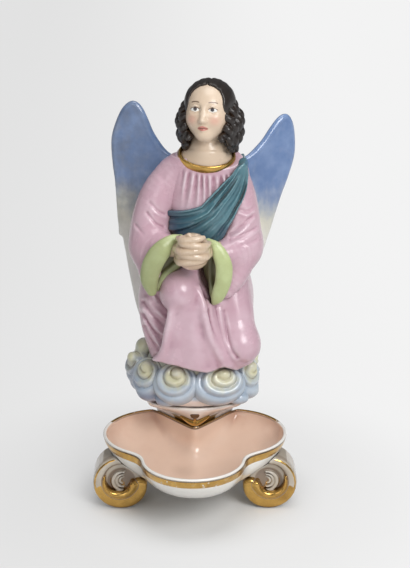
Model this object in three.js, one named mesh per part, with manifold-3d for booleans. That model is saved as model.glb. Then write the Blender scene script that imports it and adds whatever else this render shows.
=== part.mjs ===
// A porcelain holy water stoup: an angel kneeling on clouds behind a three-lobed basin on scroll feet.
// Millimetres, +Z up, the front towards -Y. Left and right are as seen from the front.
// Each piece is a separate moulding, luted to its neighbours with slip in the seams left between them.
import * as THREE from "three";
import { mergeVertices } from "three/addons/utils/BufferGeometryUtils.js";
import Module from "manifold-3d";

// Making
const SEAM = 0.3; // gap that the slip fills between two pieces
const CAST_WALL = 5; // wall of the hollow castings
const JOINT_DEPTH = 2.5; // how far a limb is let into the piece that carries it

// Basin
const RIM_ABOVE_FEET = 9.5; // rim above the tops of the scrolls
const BOWL_DEPTH = 33;
const BOWL_WALL = 3.2;
const FRONT_LOBE_RADIUS = 37.8;
const FRONT_LOBE_AHEAD = 22.3; // middle of the front lobe before the basin's middle
const SIDE_LOBE_RADIUS = 41.8;
const SIDE_LOBES_APART = 48.3;
const SIDE_LOBE_BEHIND = 22.2;
const CUSP_ROUND = 15.6; // how gently the lobes run into each other
const BOWL_BED_RADIUS = 50; // the rounder outline low in the bowl
const NOTCH_DEPTH = 30; // how far the plinth stands into the basin's back
const NOTCH_SPREAD = 20; // degrees

// Scroll feet
const SCROLL_RADIUS = 20.5;
const SCROLL_THICK = 26; // front to back
const SCROLL_BAND = 10; // width of the rolled band at the floor
const SCROLL_APART = 105; // between the middles of the two scrolls
const SCROLL_AHEAD = 2; // front of the scrolls ahead of the basin's middle
const SCROLL_RECESS = 5; // depth of the eye behind the band's front
const SCROLL_ROUND = 2.5; // rounding of the band's edges
const SCROLL_RIDGE = 1.8; // radius of the ridge round the eye
const FOOT_FLAT = 0.5; // ground off the rolled band where it stands

// Plinth, with its middle on the angel's axis
const ANGEL_BEHIND = 55; // the angel's axis behind the basin's middle
const PLINTH_ABOVE_RIM = 16;
const PLINTH_FOOT_WIDE = 60;
const PLINTH_FOOT_DEEP = 46;
const PLINTH_FOOT_BEHIND = 10; // the foot's middle behind the angel's axis
const PLINTH_WAIST_WIDE = 50;
const PLINTH_WAIST_DEEP = 42;
const PLINTH_NECK_WIDE = 58;
const PLINTH_NECK_DEEP = 58;
const PLINTH_TOP_WIDE = 76;
const PLINTH_TOP_DEEP = 64;
const LEAF_LONG = 15; // gilt leaf in the notch
const LEAF_WIDE = 10;
const LEAF_THICK = 5;

// Clouds
const CLOUD_HEIGHT = 30;
const CLOUD_WIDE = 84;
const CLOUD_DEEP = 66;
const SWIRL_RADIUS = 19; // the two large curls in front
const CURL_RADIUS = 13.5; // the smaller curls round the sides and back
const SWIRL_THICK = 8;
const SWIRL_TILT = 22; // degrees that a curl leans back
const SWIRL_RAISE = 18; // middle of a curl above the foot of the clouds

// Robe below the waist
const SKIRT_HEIGHT = 86;
const SKIRT_HEM_WIDE = 80;
const SKIRT_HEM_DEEP = 58;
const SKIRT_WAIST_WIDE = 52;
const SKIRT_WAIST_DEEP = 40;
const SKIRT_SWAY = 4; // the hem's middle right of the plinth's
const THIGH_THICK = 33;
const KNEE_THICK = 30;
const KNEE_AHEAD = 33; // raised knee in front of the hips
const KNEE_LEFT = 12; // raised knee left of the hem's middle
const KNEE_RAISE = 56; // raised knee above the hem
const DRAPE_WIDE = 50; // robe at the foot of the raised leg
const DRAPE_DEEP = 26;
const KNEEL_THICK = 26;
const KNEEL_RIGHT = 31; // knee on the clouds right of the hem's middle
const KNEEL_AHEAD = 31;

// Bodice
const TORSO_HEIGHT = 68;
const CHEST_WIDE = 58;
const CHEST_DEEP = 42;
const SHOULDER_WIDE = 60;
const SHOULDER_DEEP = 38;
const TORSO_LEAN = 1.5; // shoulders right of the waist
const COLLAR_WIDE = 42;
const COLLAR_DEEP = 29;
const COLLAR_THICK = 4.4;
const COLLAR_TILT = 24; // degrees that the collar dips in front
const SASH_THICK = 11;
const SASH_FOLD_WIDE = 17;

// Arms
const SLEEVE_THICK = 27;
const SLEEVE_SHOULDER_THICK = 25;
const ARM_SPREAD_LEFT = 27; // shoulder joint from the torso's middle
const ARM_SPREAD_RIGHT = 22;
const ELBOW_SPREAD_LEFT = 43; // elbow from the torso's middle
const ELBOW_SPREAD_RIGHT = 25.5;
const ELBOW_AHEAD = 11;
const MOUTH_TALL = 40; // the wide end of a sleeve
const MOUTH_WIDE = 21;
const MOUTH_DEEP = 12; // hollow of the sleeve round the wrist
const MOUTH_WALL = 4;
const CUFF_THICK = 9;
const WRIST_THICK = 11;
const HANDS_WIDE = 26;
const HANDS_DEEP = 21;
const HANDS_TALL = 25;
const FINGER_THICK = 6.4;
const HANDS_AHEAD = 46; // clasped hands in front of the angel's axis
const HANDS_ABOVE_WAIST = 6;

// Head
const HEAD_TALL = 40;
const HEAD_WIDE = 31;
const HEAD_DEEP = 37;
const HEAD_RAISE = 28.5; // middle of the head above the shoulders
const HEAD_AHEAD = 9;
const HEAD_TILT = 12; // degrees that the face looks up
const NECK_WIDE = 22;
const NOSE_LONG = 10;
const HAIR_THICK = 2.6;
const LOCK_THICK = 13;
const LOCKS_HANG = 34; // fall of the side locks
const LOCK_BALLS = 4;

// Wings
const WING_THICK = 5.5;
const WING_ROUND = 2; // rounding of the wing's edge
const WING_RISE = 43; // tip above the root
const WING_REACH = 60; // widest reach out from the root
const WING_FALL = 128; // lowest feather below the root
const WING_STEP = 60; // end of the upper feathers below the root
const WING_ROOT_APART = 22;
const WING_SWEEP_LEFT = 10; // degrees swept back
const WING_SWEEP_RIGHT = 30;
const WING_DROP_RIGHT = 17; // degrees that the right wing hangs lower

// Fineness of the faceting
const BODY_SIDES = 16;
const LIMB_SIDES = 10;
const BALL_SIDES = 8;
const BOWL_SIDES = 45;
const HOLLOW_SIDES = 10;

const DEGREE = Math.PI / 180;
const RIM_HEIGHT = 2 * SCROLL_RADIUS - FOOT_FLAT + RIM_ABOVE_FEET;
const PLINTH_HEIGHT = RIM_HEIGHT + PLINTH_ABOVE_RIM;
const ACROSS = new THREE.Vector3(1, 0, 0);
const UPRIGHT = new THREE.Vector3(0, 0, 1);

const wasm = await Module();
wasm.setup();

// Solids

// A closed three.js geometry as a solid that can be joined and cut.
function solid(geometry) {
  const bare = geometry.clone();
  bare.deleteAttribute("normal");
  bare.deleteAttribute("uv");
  const merged = mergeVertices(bare);
  const vertProperties = new Float32Array(merged.attributes.position.array);
  const triVerts = new Uint32Array(merged.index.array);
  return new wasm.Manifold(new wasm.Mesh({ numProp: 3, vertProperties, triVerts }));
}

function join(bodies) {
  return bodies.reduce((whole, body) => whole.add(body));
}

// A piece fitted round its neighbours: their grown shapes come off it, and so do any loose crumbs.
function fitted(body, neighbours) {
  const cut = neighbours.reduce((left, neighbour) => left.subtract(neighbour), body);
  const sizes = cut.simplify(SEAM / 3).decompose().sort((a, b) => b.volume() - a.volume());
  return sizes[0];
}

function geometryOf(body) {
  const mesh = body.getMesh();
  const geometry = new THREE.BufferGeometry();
  geometry.setAttribute("position", new THREE.BufferAttribute(new Float32Array(mesh.vertProperties), 3));
  geometry.setIndex(new THREE.BufferAttribute(new Uint32Array(mesh.triVerts), 1));
  return geometry;
}

// A closed skin over rings of equally many points, with both ends capped.
function loft(rings) {
  const around = rings[0].length;
  const last = rings.length - 1;
  const middles = [0, last].map((row) => {
    const sum = rings[row].reduce((total, point) => total.add(point), new THREE.Vector3());
    return sum.divideScalar(around);
  });
  const points = [...rings.flat(), ...middles];
  const foot = points.length - 2;
  const triangles = [];
  for (let i = 0; i < around; i += 1) {
    const next = (i + 1) % around;
    for (let row = 0; row < last; row += 1) {
      const a = row * around + i;
      const b = row * around + next;
      triangles.push(a, b, b + around, a, b + around, a + around);
    }
    triangles.push(foot, next, i, foot + 1, last * around + i, last * around + next);
  }
  const geometry = new THREE.BufferGeometry().setFromPoints(points);
  geometry.setIndex(triangles);
  return solid(geometry);
}

function ellipse(middle, u, v, sides) {
  return Array.from({ length: sides }, (_, i) => {
    const angle = (i / sides) * 2 * Math.PI;
    return middle.clone().addScaledVector(u, Math.cos(angle)).addScaledVector(v, Math.sin(angle));
  });
}

// Places and sizes eased along a list of sections { at, wide, deep }.
function eased(sections, steps) {
  const places = new THREE.CatmullRomCurve3(sections.map(({ at }) => at));
  const sizes = new THREE.CatmullRomCurve3(
    sections.map(({ wide, deep }) => new THREE.Vector3(wide, deep, 0)),
  );
  return Array.from({ length: steps + 1 }, (_, i) => {
    const size = sizes.getPoint(i / steps);
    const at = places.getPoint(i / steps);
    return { at, wide: size.x, deep: size.y, along: places.getTangent(i / steps) };
  });
}

// Level elliptical sections stacked upwards, with a flat foot and top.
function stack(sections, grow = 0, { steps = 6, sides = BODY_SIDES } = {}) {
  const rows = eased(sections, steps);
  rows[0].at.z -= grow;
  rows[steps].at.z += grow;
  return loft(
    rows.map(({ at, wide, deep }) => {
      const u = new THREE.Vector3(wide / 2 + grow, 0, 0);
      const v = new THREE.Vector3(0, deep / 2 + grow, 0);
      return ellipse(at, u, v, sides);
    }),
  );
}

// The hollow of a stacked casting, open at its foot and, where asked, at its top.
function hollow(sections, openTop, grow = 0) {
  const beyond = 2 * CAST_WALL;
  const first = sections[0];
  const last = sections[sections.length - 1];
  const below = { ...first, at: first.at.clone().setZ(first.at.z - beyond) };
  const above = { ...last, at: last.at.clone().setZ(last.at.z + beyond) };
  const rows = openTop ? [below, ...sections, above] : [below, ...sections];
  return stack(rows, grow - CAST_WALL, { steps: 5, sides: HOLLOW_SIDES });
}

// A limb through sections { at, wide, deep }, where wide is measured along side. Its ends are rounded,
// but a limb that is told which way its tip faces ends there in a flat.
function limb(sections, { side = ACROSS, facing = null, grow = 0, steps = 4, sides = LIMB_SIDES } = {}) {
  const rows = eased(sections, steps);
  if (facing) {
    rows.forEach(({ along }, i) => {
      along.lerp(facing, THREE.MathUtils.smoothstep(i / steps, 0.4, 1)).normalize();
    });
    rows[steps].at.addScaledVector(facing, grow);
  }
  const ringAt = ({ at, wide, deep, along }, scale, shift) => {
    const u = side.clone().addScaledVector(along, -side.dot(along)).normalize();
    const v = along.clone().cross(u);
    const reach = Math.min(wide, deep) / 2 + grow;
    const middle = at.clone().addScaledVector(along, shift * reach);
    u.multiplyScalar((wide / 2 + grow) * scale);
    v.multiplyScalar((deep / 2 + grow) * scale);
    return ellipse(middle, u, v, sides);
  };
  const rounding = sides > BALL_SIDES ? [66, 30] : [48];
  const ends = rounding.map((angle) => [Math.cos(angle * DEGREE), Math.sin(angle * DEGREE)]);
  const foot = ends.map(([scale, shift]) => ringAt(rows[0], scale, -shift));
  const tip = facing ? [] : ends.map(([scale, shift]) => ringAt(rows[steps], scale, shift)).reverse();
  return loft([...foot, ...rows.map((row) => ringAt(row, 1, 0)), ...tip]);
}

function section(x, y, z, wide, deep = wide) {
  return { at: new THREE.Vector3(x, y, z), wide, deep };
}

function ball(x, y, z, wide, deep = wide, tall = wide, sides = BALL_SIDES) {
  const geometry = new THREE.SphereGeometry(0.5, sides, Math.ceil(sides * 0.6));
  return solid(geometry.scale(wide, deep, tall).translate(x, y, z));
}

// Stand: basin, scroll feet, plinth and leaf, with the basin's middle at x 0, y 0 and the floor at z 0

// How far the basin's outline reaches at an angle, seen from above: three round lobes that run into
// each other, with a notch at the back where the plinth stands.
function bowlReach(angle) {
  const ray = new THREE.Vector2(Math.cos(angle * DEGREE), Math.sin(angle * DEGREE));
  const lobe = (x, y, radius) => {
    const along = x * ray.x + y * ray.y;
    const room = radius ** 2 - x ** 2 - y ** 2 + along ** 2;
    return room > 0 ? Math.max(along + Math.sqrt(room), 0) : 0;
  };
  const front = lobe(0, -FRONT_LOBE_AHEAD, FRONT_LOBE_RADIUS);
  const sides = [-1, 1].map((sign) => {
    return lobe((sign * SIDE_LOBES_APART) / 2, SIDE_LOBE_BEHIND, SIDE_LOBE_RADIUS);
  });
  const side = Math.max(...sides);
  const near = Math.max(CUSP_ROUND - Math.abs(front - side), 0);
  const off = THREE.MathUtils.euclideanModulo(angle + 90, 360) - 180;
  const notch = NOTCH_DEPTH * Math.exp(-((off / NOTCH_SPREAD) ** 2));
  return Math.max(front, side) + near ** 2 / (4 * CUSP_ROUND) - notch;
}

// The basin's outer body, filled to the brim. It is round at the bottom and three-lobed at the rim.
function bowlBody(grow, depth = BOWL_DEPTH, brim = RIM_HEIGHT + grow) {
  const rows = 4;
  const rings = Array.from({ length: rows + 1 }, (_, row) => {
    const rise = (0.06 + (0.94 * row) / rows) * 90 * DEGREE;
    const out = Math.sin(rise);
    const z = RIM_HEIGHT - (depth + grow) * Math.cos(rise);
    return Array.from({ length: BOWL_SIDES }, (_, i) => {
      const angle = (i / BOWL_SIDES) * 360;
      const reach = THREE.MathUtils.lerp(BOWL_BED_RADIUS, bowlReach(angle), out) * out + grow;
      const turn = angle * DEGREE;
      return new THREE.Vector3(reach * Math.cos(turn), reach * Math.sin(turn), z);
    });
  });
  rings.push(rings[rows].map((point) => point.clone().setZ(brim)));
  return loft(rings.slice(0, rows).concat(rings.slice(brim > RIM_HEIGHT ? rows : rows + 1)));
}

function basin() {
  const inside = bowlBody(-BOWL_WALL, BOWL_DEPTH, RIM_HEIGHT + BOWL_WALL);
  return fitted(bowlBody(0), [inside]);
}

// Outline of the rolled band, as it curls from under the basin over the floor and up to its tongue.
function scrollShape() {
  const start = 70;
  const end = 400;
  const steps = 18;
  const edge = (share, inner) => {
    const angle = (start + (end - start) * share) * DEGREE;
    const curl = THREE.MathUtils.smoothstep(share, 0.72, 1);
    const outer = (SCROLL_RADIUS - SCROLL_ROUND) * (1 - 0.3 * curl);
    const band = (SCROLL_BAND - SCROLL_ROUND) * (0.45 + 0.55 * THREE.MathUtils.smoothstep(share, 0.05, 0.6));
    const reach = inner ? outer - band * (1 - 0.35 * curl) : outer;
    return new THREE.Vector2(reach * Math.cos(angle), reach * Math.sin(angle));
  };
  const outside = Array.from({ length: steps + 1 }, (_, i) => edge(i / steps, false));
  const inside = Array.from({ length: steps + 1 }, (_, i) => edge(1 - i / steps, true));
  return new THREE.Shape([...outside, ...inside]);
}

function scrollFoot() {
  const front = -SCROLL_AHEAD;
  const bevel = { bevelSize: SCROLL_ROUND, bevelThickness: SCROLL_ROUND, bevelSegments: 1 };
  const flat = new THREE.ExtrudeGeometry(scrollShape(), { depth: SCROLL_THICK - 2 * SCROLL_ROUND, ...bevel });
  const band = flat.rotateX(90 * DEGREE).translate(0, front + SCROLL_THICK - SCROLL_ROUND, 0);
  const plateRadius = SCROLL_RADIUS - SCROLL_BAND / 2;
  const plateThick = SCROLL_THICK - 2 * SCROLL_RECESS;
  const eye = new THREE.CylinderGeometry(plateRadius, plateRadius, plateThick, LIMB_SIDES * 2);
  eye.translate(0, front + SCROLL_THICK / 2, 0);
  const ridge = new THREE.TorusGeometry(SCROLL_RADIUS / 3, SCROLL_RIDGE, 6, LIMB_SIDES);
  ridge.rotateX(90 * DEGREE).translate(0, front + SCROLL_RECESS, 0);
  const raise = SCROLL_RADIUS - FOOT_FLAT;
  const whole = join([band, eye, ridge].map(solid)).translate([-SCROLL_APART / 2, 0, raise]);
  const floor = solid(new THREE.BoxGeometry(SCROLL_APART, SCROLL_APART, SCROLL_RADIUS));
  return fitted(whole, [floor.translate([-SCROLL_APART / 2, 0, -SCROLL_RADIUS / 2]), bowlBody(SEAM)]);
}

function plinthSections() {
  const y = ANGEL_BEHIND;
  const footY = y + PLINTH_FOOT_BEHIND;
  return [
    section(0, footY, 0, PLINTH_FOOT_WIDE, PLINTH_FOOT_DEEP),
    section(0, footY, PLINTH_HEIGHT * 0.12, PLINTH_FOOT_WIDE, PLINTH_FOOT_DEEP),
    section(0, (y + footY) / 2, PLINTH_HEIGHT * 0.45, PLINTH_WAIST_WIDE, PLINTH_WAIST_DEEP),
    section(0, y, PLINTH_HEIGHT * 0.76, PLINTH_NECK_WIDE, PLINTH_NECK_DEEP),
    section(0, y, PLINTH_HEIGHT, PLINTH_TOP_WIDE, PLINTH_TOP_DEEP),
  ];
}

function plinth(grow = 0) {
  return fitted(stack(plinthSections(), grow), [bowlBody(SEAM - grow), hollow(plinthSections(), true)]);
}

// A gilt leaf of three lobes on the front of the plinth, above the notch in the basin.
function leaf() {
  const y = ANGEL_BEHIND - (PLINTH_NECK_DEEP + PLINTH_TOP_DEEP) / 4;
  const z = (RIM_HEIGHT + PLINTH_HEIGHT) / 2 - SEAM;
  const tall = Math.min(LEAF_LONG, PLINTH_HEIGHT - RIM_HEIGHT - 2 * SEAM);
  const spread = LEAF_WIDE * 0.55;
  const lobes = [
    ball(0, y, z, LEAF_WIDE * 0.6, LEAF_THICK, tall),
    ball(-spread, y, z - tall * 0.1, LEAF_WIDE, LEAF_THICK, tall * 0.45),
    ball(spread, y, z - tall * 0.1, LEAF_WIDE, LEAF_THICK, tall * 0.45),
  ];
  return fitted(join(lobes), [stack(plinthSections(), SEAM), bowlBody(SEAM)]);
}

// Angel and clouds, with the middle of the clouds' foot at x 0, y 0, z 0

const HEM = CLOUD_HEIGHT + SEAM;
const WAIST = HEM + SKIRT_HEIGHT + SEAM;
const SHOULDERS = WAIST + TORSO_HEIGHT;
const HANDS_RAISE = WAIST + HANDS_ABOVE_WAIST;
const WAIST_X = SKIRT_SWAY * 2;
const SHOULDERS_X = WAIST_X + TORSO_LEAN;

function cloudSections() {
  return [
    section(0, 0, 0, CLOUD_WIDE * 0.86, CLOUD_DEEP * 0.86),
    section(0, 0, CLOUD_HEIGHT * 0.4, CLOUD_WIDE, CLOUD_DEEP),
    section(0, 0, CLOUD_HEIGHT * 0.75, CLOUD_WIDE, CLOUD_DEEP),
    section(0, 0, CLOUD_HEIGHT, CLOUD_WIDE * 0.88, CLOUD_DEEP * 0.88),
  ];
}

function cloudBase() {
  return fitted(stack(cloudSections(), 0, { steps: 4 }), [hollow(cloudSections(), true)]);
}

function skirtSections() {
  const x = SKIRT_SWAY;
  return [
    section(x, 2, HEM, SKIRT_HEM_WIDE, SKIRT_HEM_DEEP),
    section(x, 2, HEM + SKIRT_HEIGHT * 0.34, SKIRT_HEM_WIDE, SKIRT_HEM_DEEP),
    section(x, 2, HEM + SKIRT_HEIGHT * 0.64, SKIRT_HEM_WIDE * 0.88, SKIRT_HEM_DEEP * 0.9),
    section((x + WAIST_X) / 2, 1, HEM + SKIRT_HEIGHT * 0.86, SKIRT_WAIST_WIDE * 1.08, SKIRT_WAIST_DEEP * 1.1),
    section(WAIST_X, 0, HEM + SKIRT_HEIGHT, SKIRT_WAIST_WIDE, SKIRT_WAIST_DEEP),
  ];
}

function raisedLeg(grow) {
  const kneeX = SKIRT_SWAY - KNEE_LEFT;
  const knee = HEM + KNEE_RAISE;
  const thigh = [
    section(SKIRT_SWAY, 0, knee + KNEE_THICK * 0.2, THIGH_THICK),
    section(kneeX * 0.6, -KNEE_AHEAD * 0.6, knee + KNEE_THICK * 0.1, THIGH_THICK),
    section(kneeX, -KNEE_AHEAD, knee, KNEE_THICK),
  ];
  const drape = [
    section(kneeX, -KNEE_AHEAD, knee, KNEE_THICK),
    section(kneeX, -KNEE_AHEAD, (HEM + knee) / 2, KNEE_THICK * 1.1, KNEE_THICK * 0.95),
    section(kneeX * 0.7, -KNEE_AHEAD + 5, HEM + DRAPE_DEEP / 2, DRAPE_WIDE, DRAPE_DEEP),
  ];
  return [limb(thigh, { grow }), limb(drape, { grow })];
}

function kneelingLeg(grow) {
  const kneeX = SKIRT_SWAY + KNEEL_RIGHT;
  const low = HEM + KNEEL_THICK * 0.62;
  const thigh = [
    section(SKIRT_SWAY + KNEEL_RIGHT * 0.5, 0, HEM + SKIRT_HEIGHT * 0.6, THIGH_THICK),
    section(SKIRT_SWAY + KNEEL_RIGHT * 0.8, -KNEEL_AHEAD * 0.6, HEM + SKIRT_HEIGHT * 0.4, KNEEL_THICK * 1.1),
    section(kneeX, -KNEEL_AHEAD, low, KNEEL_THICK),
  ];
  const shin = [
    section(kneeX, -KNEEL_AHEAD, low, KNEEL_THICK),
    section(kneeX, 0, low, KNEEL_THICK),
    section(kneeX * 0.8, SKIRT_HEM_DEEP * 0.3, low, KNEEL_THICK * 0.8),
  ];
  return [limb(thigh, { grow }), limb(shin, { grow })];
}

function skirt(grow = 0) {
  const whole = join([stack(skirtSections(), grow), ...raisedLeg(grow), ...kneelingLeg(grow)]);
  const seat = stack(cloudSections(), SEAM - grow, { steps: 4 });
  return fitted(whole, grow > 0 ? [] : [seat, hollow(skirtSections(), true)]);
}

function torsoSections() {
  const x = (share) => THREE.MathUtils.lerp(WAIST_X, SHOULDERS_X, share);
  const z = (share) => WAIST + TORSO_HEIGHT * share;
  return [
    section(x(0), 0, z(0), SKIRT_WAIST_WIDE, SKIRT_WAIST_DEEP),
    section(x(0.34), 0, z(0.34), CHEST_WIDE, CHEST_DEEP),
    section(x(0.66), 0, z(0.66), SHOULDER_WIDE, SHOULDER_DEEP),
    section(x(0.84), -1, z(0.84), SHOULDER_WIDE * 0.92, SHOULDER_DEEP * 0.88),
    section(x(0.95), -3, z(0.95), SHOULDER_WIDE * 0.7, SHOULDER_DEEP * 0.72),
    section(x(1), -4, z(1), SHOULDER_WIDE * 0.46, SHOULDER_DEEP * 0.56),
  ];
}

// The y of the bodice's surface at a place seen from the front: side -1 is the front, 1 the back.
function bodiceY(x, z, side) {
  const rows = eased(torsoSections(), 40);
  const row = rows.reduce((best, next) => (Math.abs(next.at.z - z) < Math.abs(best.at.z - z) ? next : best));
  const share = THREE.MathUtils.clamp((x - row.at.x) / (row.wide / 2), -0.97, 0.97);
  return row.at.y + (side * row.deep * Math.sqrt(1 - share * share)) / 2;
}

// Folds of the sash fan out from the right shoulder to the waist, in front and behind.
function sash(grow = 0) {
  const shoulder = new THREE.Vector2(SHOULDERS_X + SHOULDER_WIDE * 0.36, WAIST + TORSO_HEIGHT * 0.86);
  const fold = (endX, endZ, side) => {
    const end = new THREE.Vector2(SHOULDERS_X + endX, WAIST + endZ);
    const places = [0, 0.5, 1].map((share) => {
      const at = shoulder.clone().lerp(end, share);
      const wide = SASH_FOLD_WIDE * (0.62 + 0.38 * share);
      return section(at.x, bodiceY(at.x, at.y, side), at.y, SASH_THICK, wide);
    });
    return limb(places, { side: new THREE.Vector3(0, 1, 0), grow, steps: 3, sides: BALL_SIDES });
  };
  const reach = CHEST_WIDE * 0.44;
  const front = [0.34, 0.18].map((share) => fold(-reach, TORSO_HEIGHT * share, -1));
  const loose = [0.6, 0.12].map((share) => fold(-reach * share, TORSO_HEIGHT * 0.1, -1));
  const behind = fold(-reach, TORSO_HEIGHT * 0.2, 1);
  return join([...front, ...loose, behind]);
}

function collar(grow = 0) {
  const tube = COLLAR_THICK / 2 + grow;
  const ring = new THREE.TorusGeometry(COLLAR_WIDE / 2, tube, 6, BODY_SIDES);
  ring.scale(1, COLLAR_DEEP / COLLAR_WIDE, 1).rotateX(COLLAR_TILT * DEGREE);
  return solid(ring.translate(SHOULDERS_X, -HEAD_AHEAD * 0.6, SHOULDERS - COLLAR_THICK));
}

// Arms: sign -1 is the left one, 1 the right

function armPoints(sign) {
  const spread = sign < 0 ? -ARM_SPREAD_LEFT : ARM_SPREAD_RIGHT;
  const bend = sign < 0 ? -ELBOW_SPREAD_LEFT : ELBOW_SPREAD_RIGHT;
  const shoulder = new THREE.Vector3(SHOULDERS_X + spread, 0, WAIST + TORSO_HEIGHT * 0.7);
  const elbow = new THREE.Vector3(SHOULDERS_X + bend, -ELBOW_AHEAD, HANDS_RAISE + 3);
  const hands = new THREE.Vector3(0, -HANDS_AHEAD, HANDS_RAISE);
  const facing = hands.clone().sub(elbow).setZ(0).normalize();
  const mouth = hands.clone().lerp(elbow, 0.66).setZ(HANDS_RAISE - MOUTH_TALL * 0.32);
  return { shoulder, elbow, hands, mouth, facing, side: facing.clone().cross(UPRIGHT) };
}

// The hollow at the end of a sleeve, round the wrist.
function mouthHollow(sign, grow) {
  const { mouth, facing, side } = armPoints(sign);
  const wide = MOUTH_WIDE - 2 * MOUTH_WALL;
  const deep = MOUTH_TALL - 2 * MOUTH_WALL;
  const reaches = [wide / 2 - MOUTH_DEEP, 0, MOUTH_TALL];
  const places = reaches.map((reach) => mouth.clone().addScaledVector(facing, reach));
  return limb(places.map((at) => ({ at, wide, deep })), { side, grow, steps: 2 });
}

function sleeve(sign, grow = 0) {
  const { shoulder, elbow, mouth, facing, side } = armPoints(sign);
  const bulge = new THREE.Vector3(sign * SLEEVE_THICK * 0.1, 0, 0);
  const sections = [
    { at: shoulder, wide: SLEEVE_SHOULDER_THICK, deep: SLEEVE_SHOULDER_THICK },
    { at: shoulder.clone().lerp(elbow, 0.5).add(bulge), wide: SLEEVE_THICK, deep: SLEEVE_THICK },
    { at: elbow, wide: SLEEVE_THICK, deep: SLEEVE_THICK * 1.1 },
    { at: mouth, wide: MOUTH_WIDE, deep: MOUTH_TALL },
  ];
  return limb(sections, { side, facing, grow, steps: 6 }).subtract(mouthHollow(sign, -grow));
}

// The green lining turned back as a thick lip round a sleeve's mouth.
function cuff(sign, grow = 0) {
  const { mouth, facing } = armPoints(sign);
  const middle = mouth.clone().addScaledVector(facing, CUFF_THICK / 2);
  const ring = new THREE.TorusGeometry(MOUTH_WIDE / 2, CUFF_THICK / 2 + grow, 6, BODY_SIDES);
  ring.scale(1, MOUTH_TALL / MOUTH_WIDE, 1).rotateX(90 * DEGREE);
  ring.rotateZ(Math.atan2(facing.y, facing.x) + 90 * DEGREE);
  return solid(ring.translate(middle.x, middle.y, middle.z));
}

function wrist(sign) {
  const { mouth, hands, facing } = armPoints(sign);
  const inside = mouth.clone().addScaledVector(facing, -MOUTH_DEEP);
  const sections = [hands, hands.clone().lerp(inside, 0.5), inside];
  const round = { wide: WRIST_THICK, deep: WRIST_THICK };
  return limb(sections.map((at) => ({ at, ...round })), { side: UPRIGHT, steps: 2, sides: BALL_SIDES });
}

// Two hands clasped, with the fingers of one across the back of the other and the thumbs on top.
function clasped() {
  const y = -HANDS_AHEAD;
  const palm = ball(0, y, HANDS_RAISE, HANDS_WIDE, HANDS_DEEP, HANDS_TALL, LIMB_SIDES);
  const fingers = [-1.4, -0.5, 0.4, 1.3].map((row) => {
    const z = HANDS_RAISE + row * FINGER_THICK * 0.85;
    const half = (HANDS_WIDE / 2) * Math.sqrt(1 - (row / 2.6) ** 2);
    const front = y - (HANDS_DEEP / 2) * Math.sqrt(1 - (row / 2.6) ** 2) + FINGER_THICK * 0.2;
    const knuckles = [
      section(-half * 0.85, y - HANDS_DEEP * 0.16, z + 1, FINGER_THICK),
      section(0, front, z, FINGER_THICK),
      section(half * 0.85, y - HANDS_DEEP * 0.16, z - 1, FINGER_THICK),
    ];
    return limb(knuckles, { side: UPRIGHT, steps: 3, sides: 6 });
  });
  const thumbs = [-1, 1].map((sign) => {
    const root = section(sign * HANDS_WIDE * 0.2, y + 3, HANDS_RAISE + HANDS_TALL * 0.35, FINGER_THICK);
    const tipX = -sign * FINGER_THICK * 0.3;
    const tip = section(tipX, y - 1, HANDS_RAISE + HANDS_TALL * 0.5, FINGER_THICK * 0.85);
    return limb([root, tip], { side: UPRIGHT, steps: 1, sides: 6 });
  });
  return join([palm, ...fingers, ...thumbs, wrist(-1), wrist(1)]);
}

// Head, on an axis that leans back so that the face looks up

const HEAD_MIDDLE = new THREE.Vector3(SHOULDERS_X + 1, -HEAD_AHEAD, SHOULDERS + HEAD_RAISE);
const HEAD_TURN = new THREE.Quaternion().setFromAxisAngle(ACROSS, -HEAD_TILT * DEGREE);

function inHead(x, y, z, wide, deep) {
  const at = new THREE.Vector3(x, y, z).applyQuaternion(HEAD_TURN).add(HEAD_MIDDLE);
  return { at, wide, deep };
}

function skull(grow) {
  const level = (height, wide, deep, ahead) =>
    inHead(0, -ahead * HEAD_DEEP, height * HEAD_TALL, wide * HEAD_WIDE, deep * HEAD_DEEP);
  const sections = [
    level(-0.33, 0.5, 0.46, 0.2),
    level(-0.17, 0.86, 0.8, 0.06),
    level(0, 1, 1, 0),
    level(0.15, 0.97, 0.98, -0.02),
    level(0.27, 0.7, 0.72, -0.03),
  ];
  return limb(sections, { grow, steps: 5, sides: 12 });
}

function neck(grow) {
  const x = SHOULDERS_X;
  const y = -HEAD_AHEAD * 0.6;
  const flare = COLLAR_WIDE - COLLAR_THICK * 2;
  return stack(
    [
      section(x, y, SHOULDERS - COLLAR_THICK * 3, flare * 0.7, flare * 0.5),
      section(x, y, SHOULDERS - COLLAR_THICK, flare * 0.84, flare * 0.62),
      section(x, y, SHOULDERS + COLLAR_THICK * 0.5, NECK_WIDE * 1.12, NECK_WIDE),
      section(x, y, SHOULDERS + HEAD_RAISE - HEAD_TALL * 0.2, NECK_WIDE * 0.95, NECK_WIDE * 0.95),
    ],
    grow,
    { steps: 4, sides: LIMB_SIDES + 2 },
  );
}

function nose() {
  const face = -HEAD_DEEP / 2;
  const bridge = inHead(0, face + 1.5, NOSE_LONG * 0.4, 3, 3);
  const tip = inHead(0, face - 1.2, -NOSE_LONG * 0.5, 4.6, 4);
  return limb([bridge, tip], { steps: 3, sides: 8 });
}

function head() {
  return join([skull(0), neck(0), nose()]);
}

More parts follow.
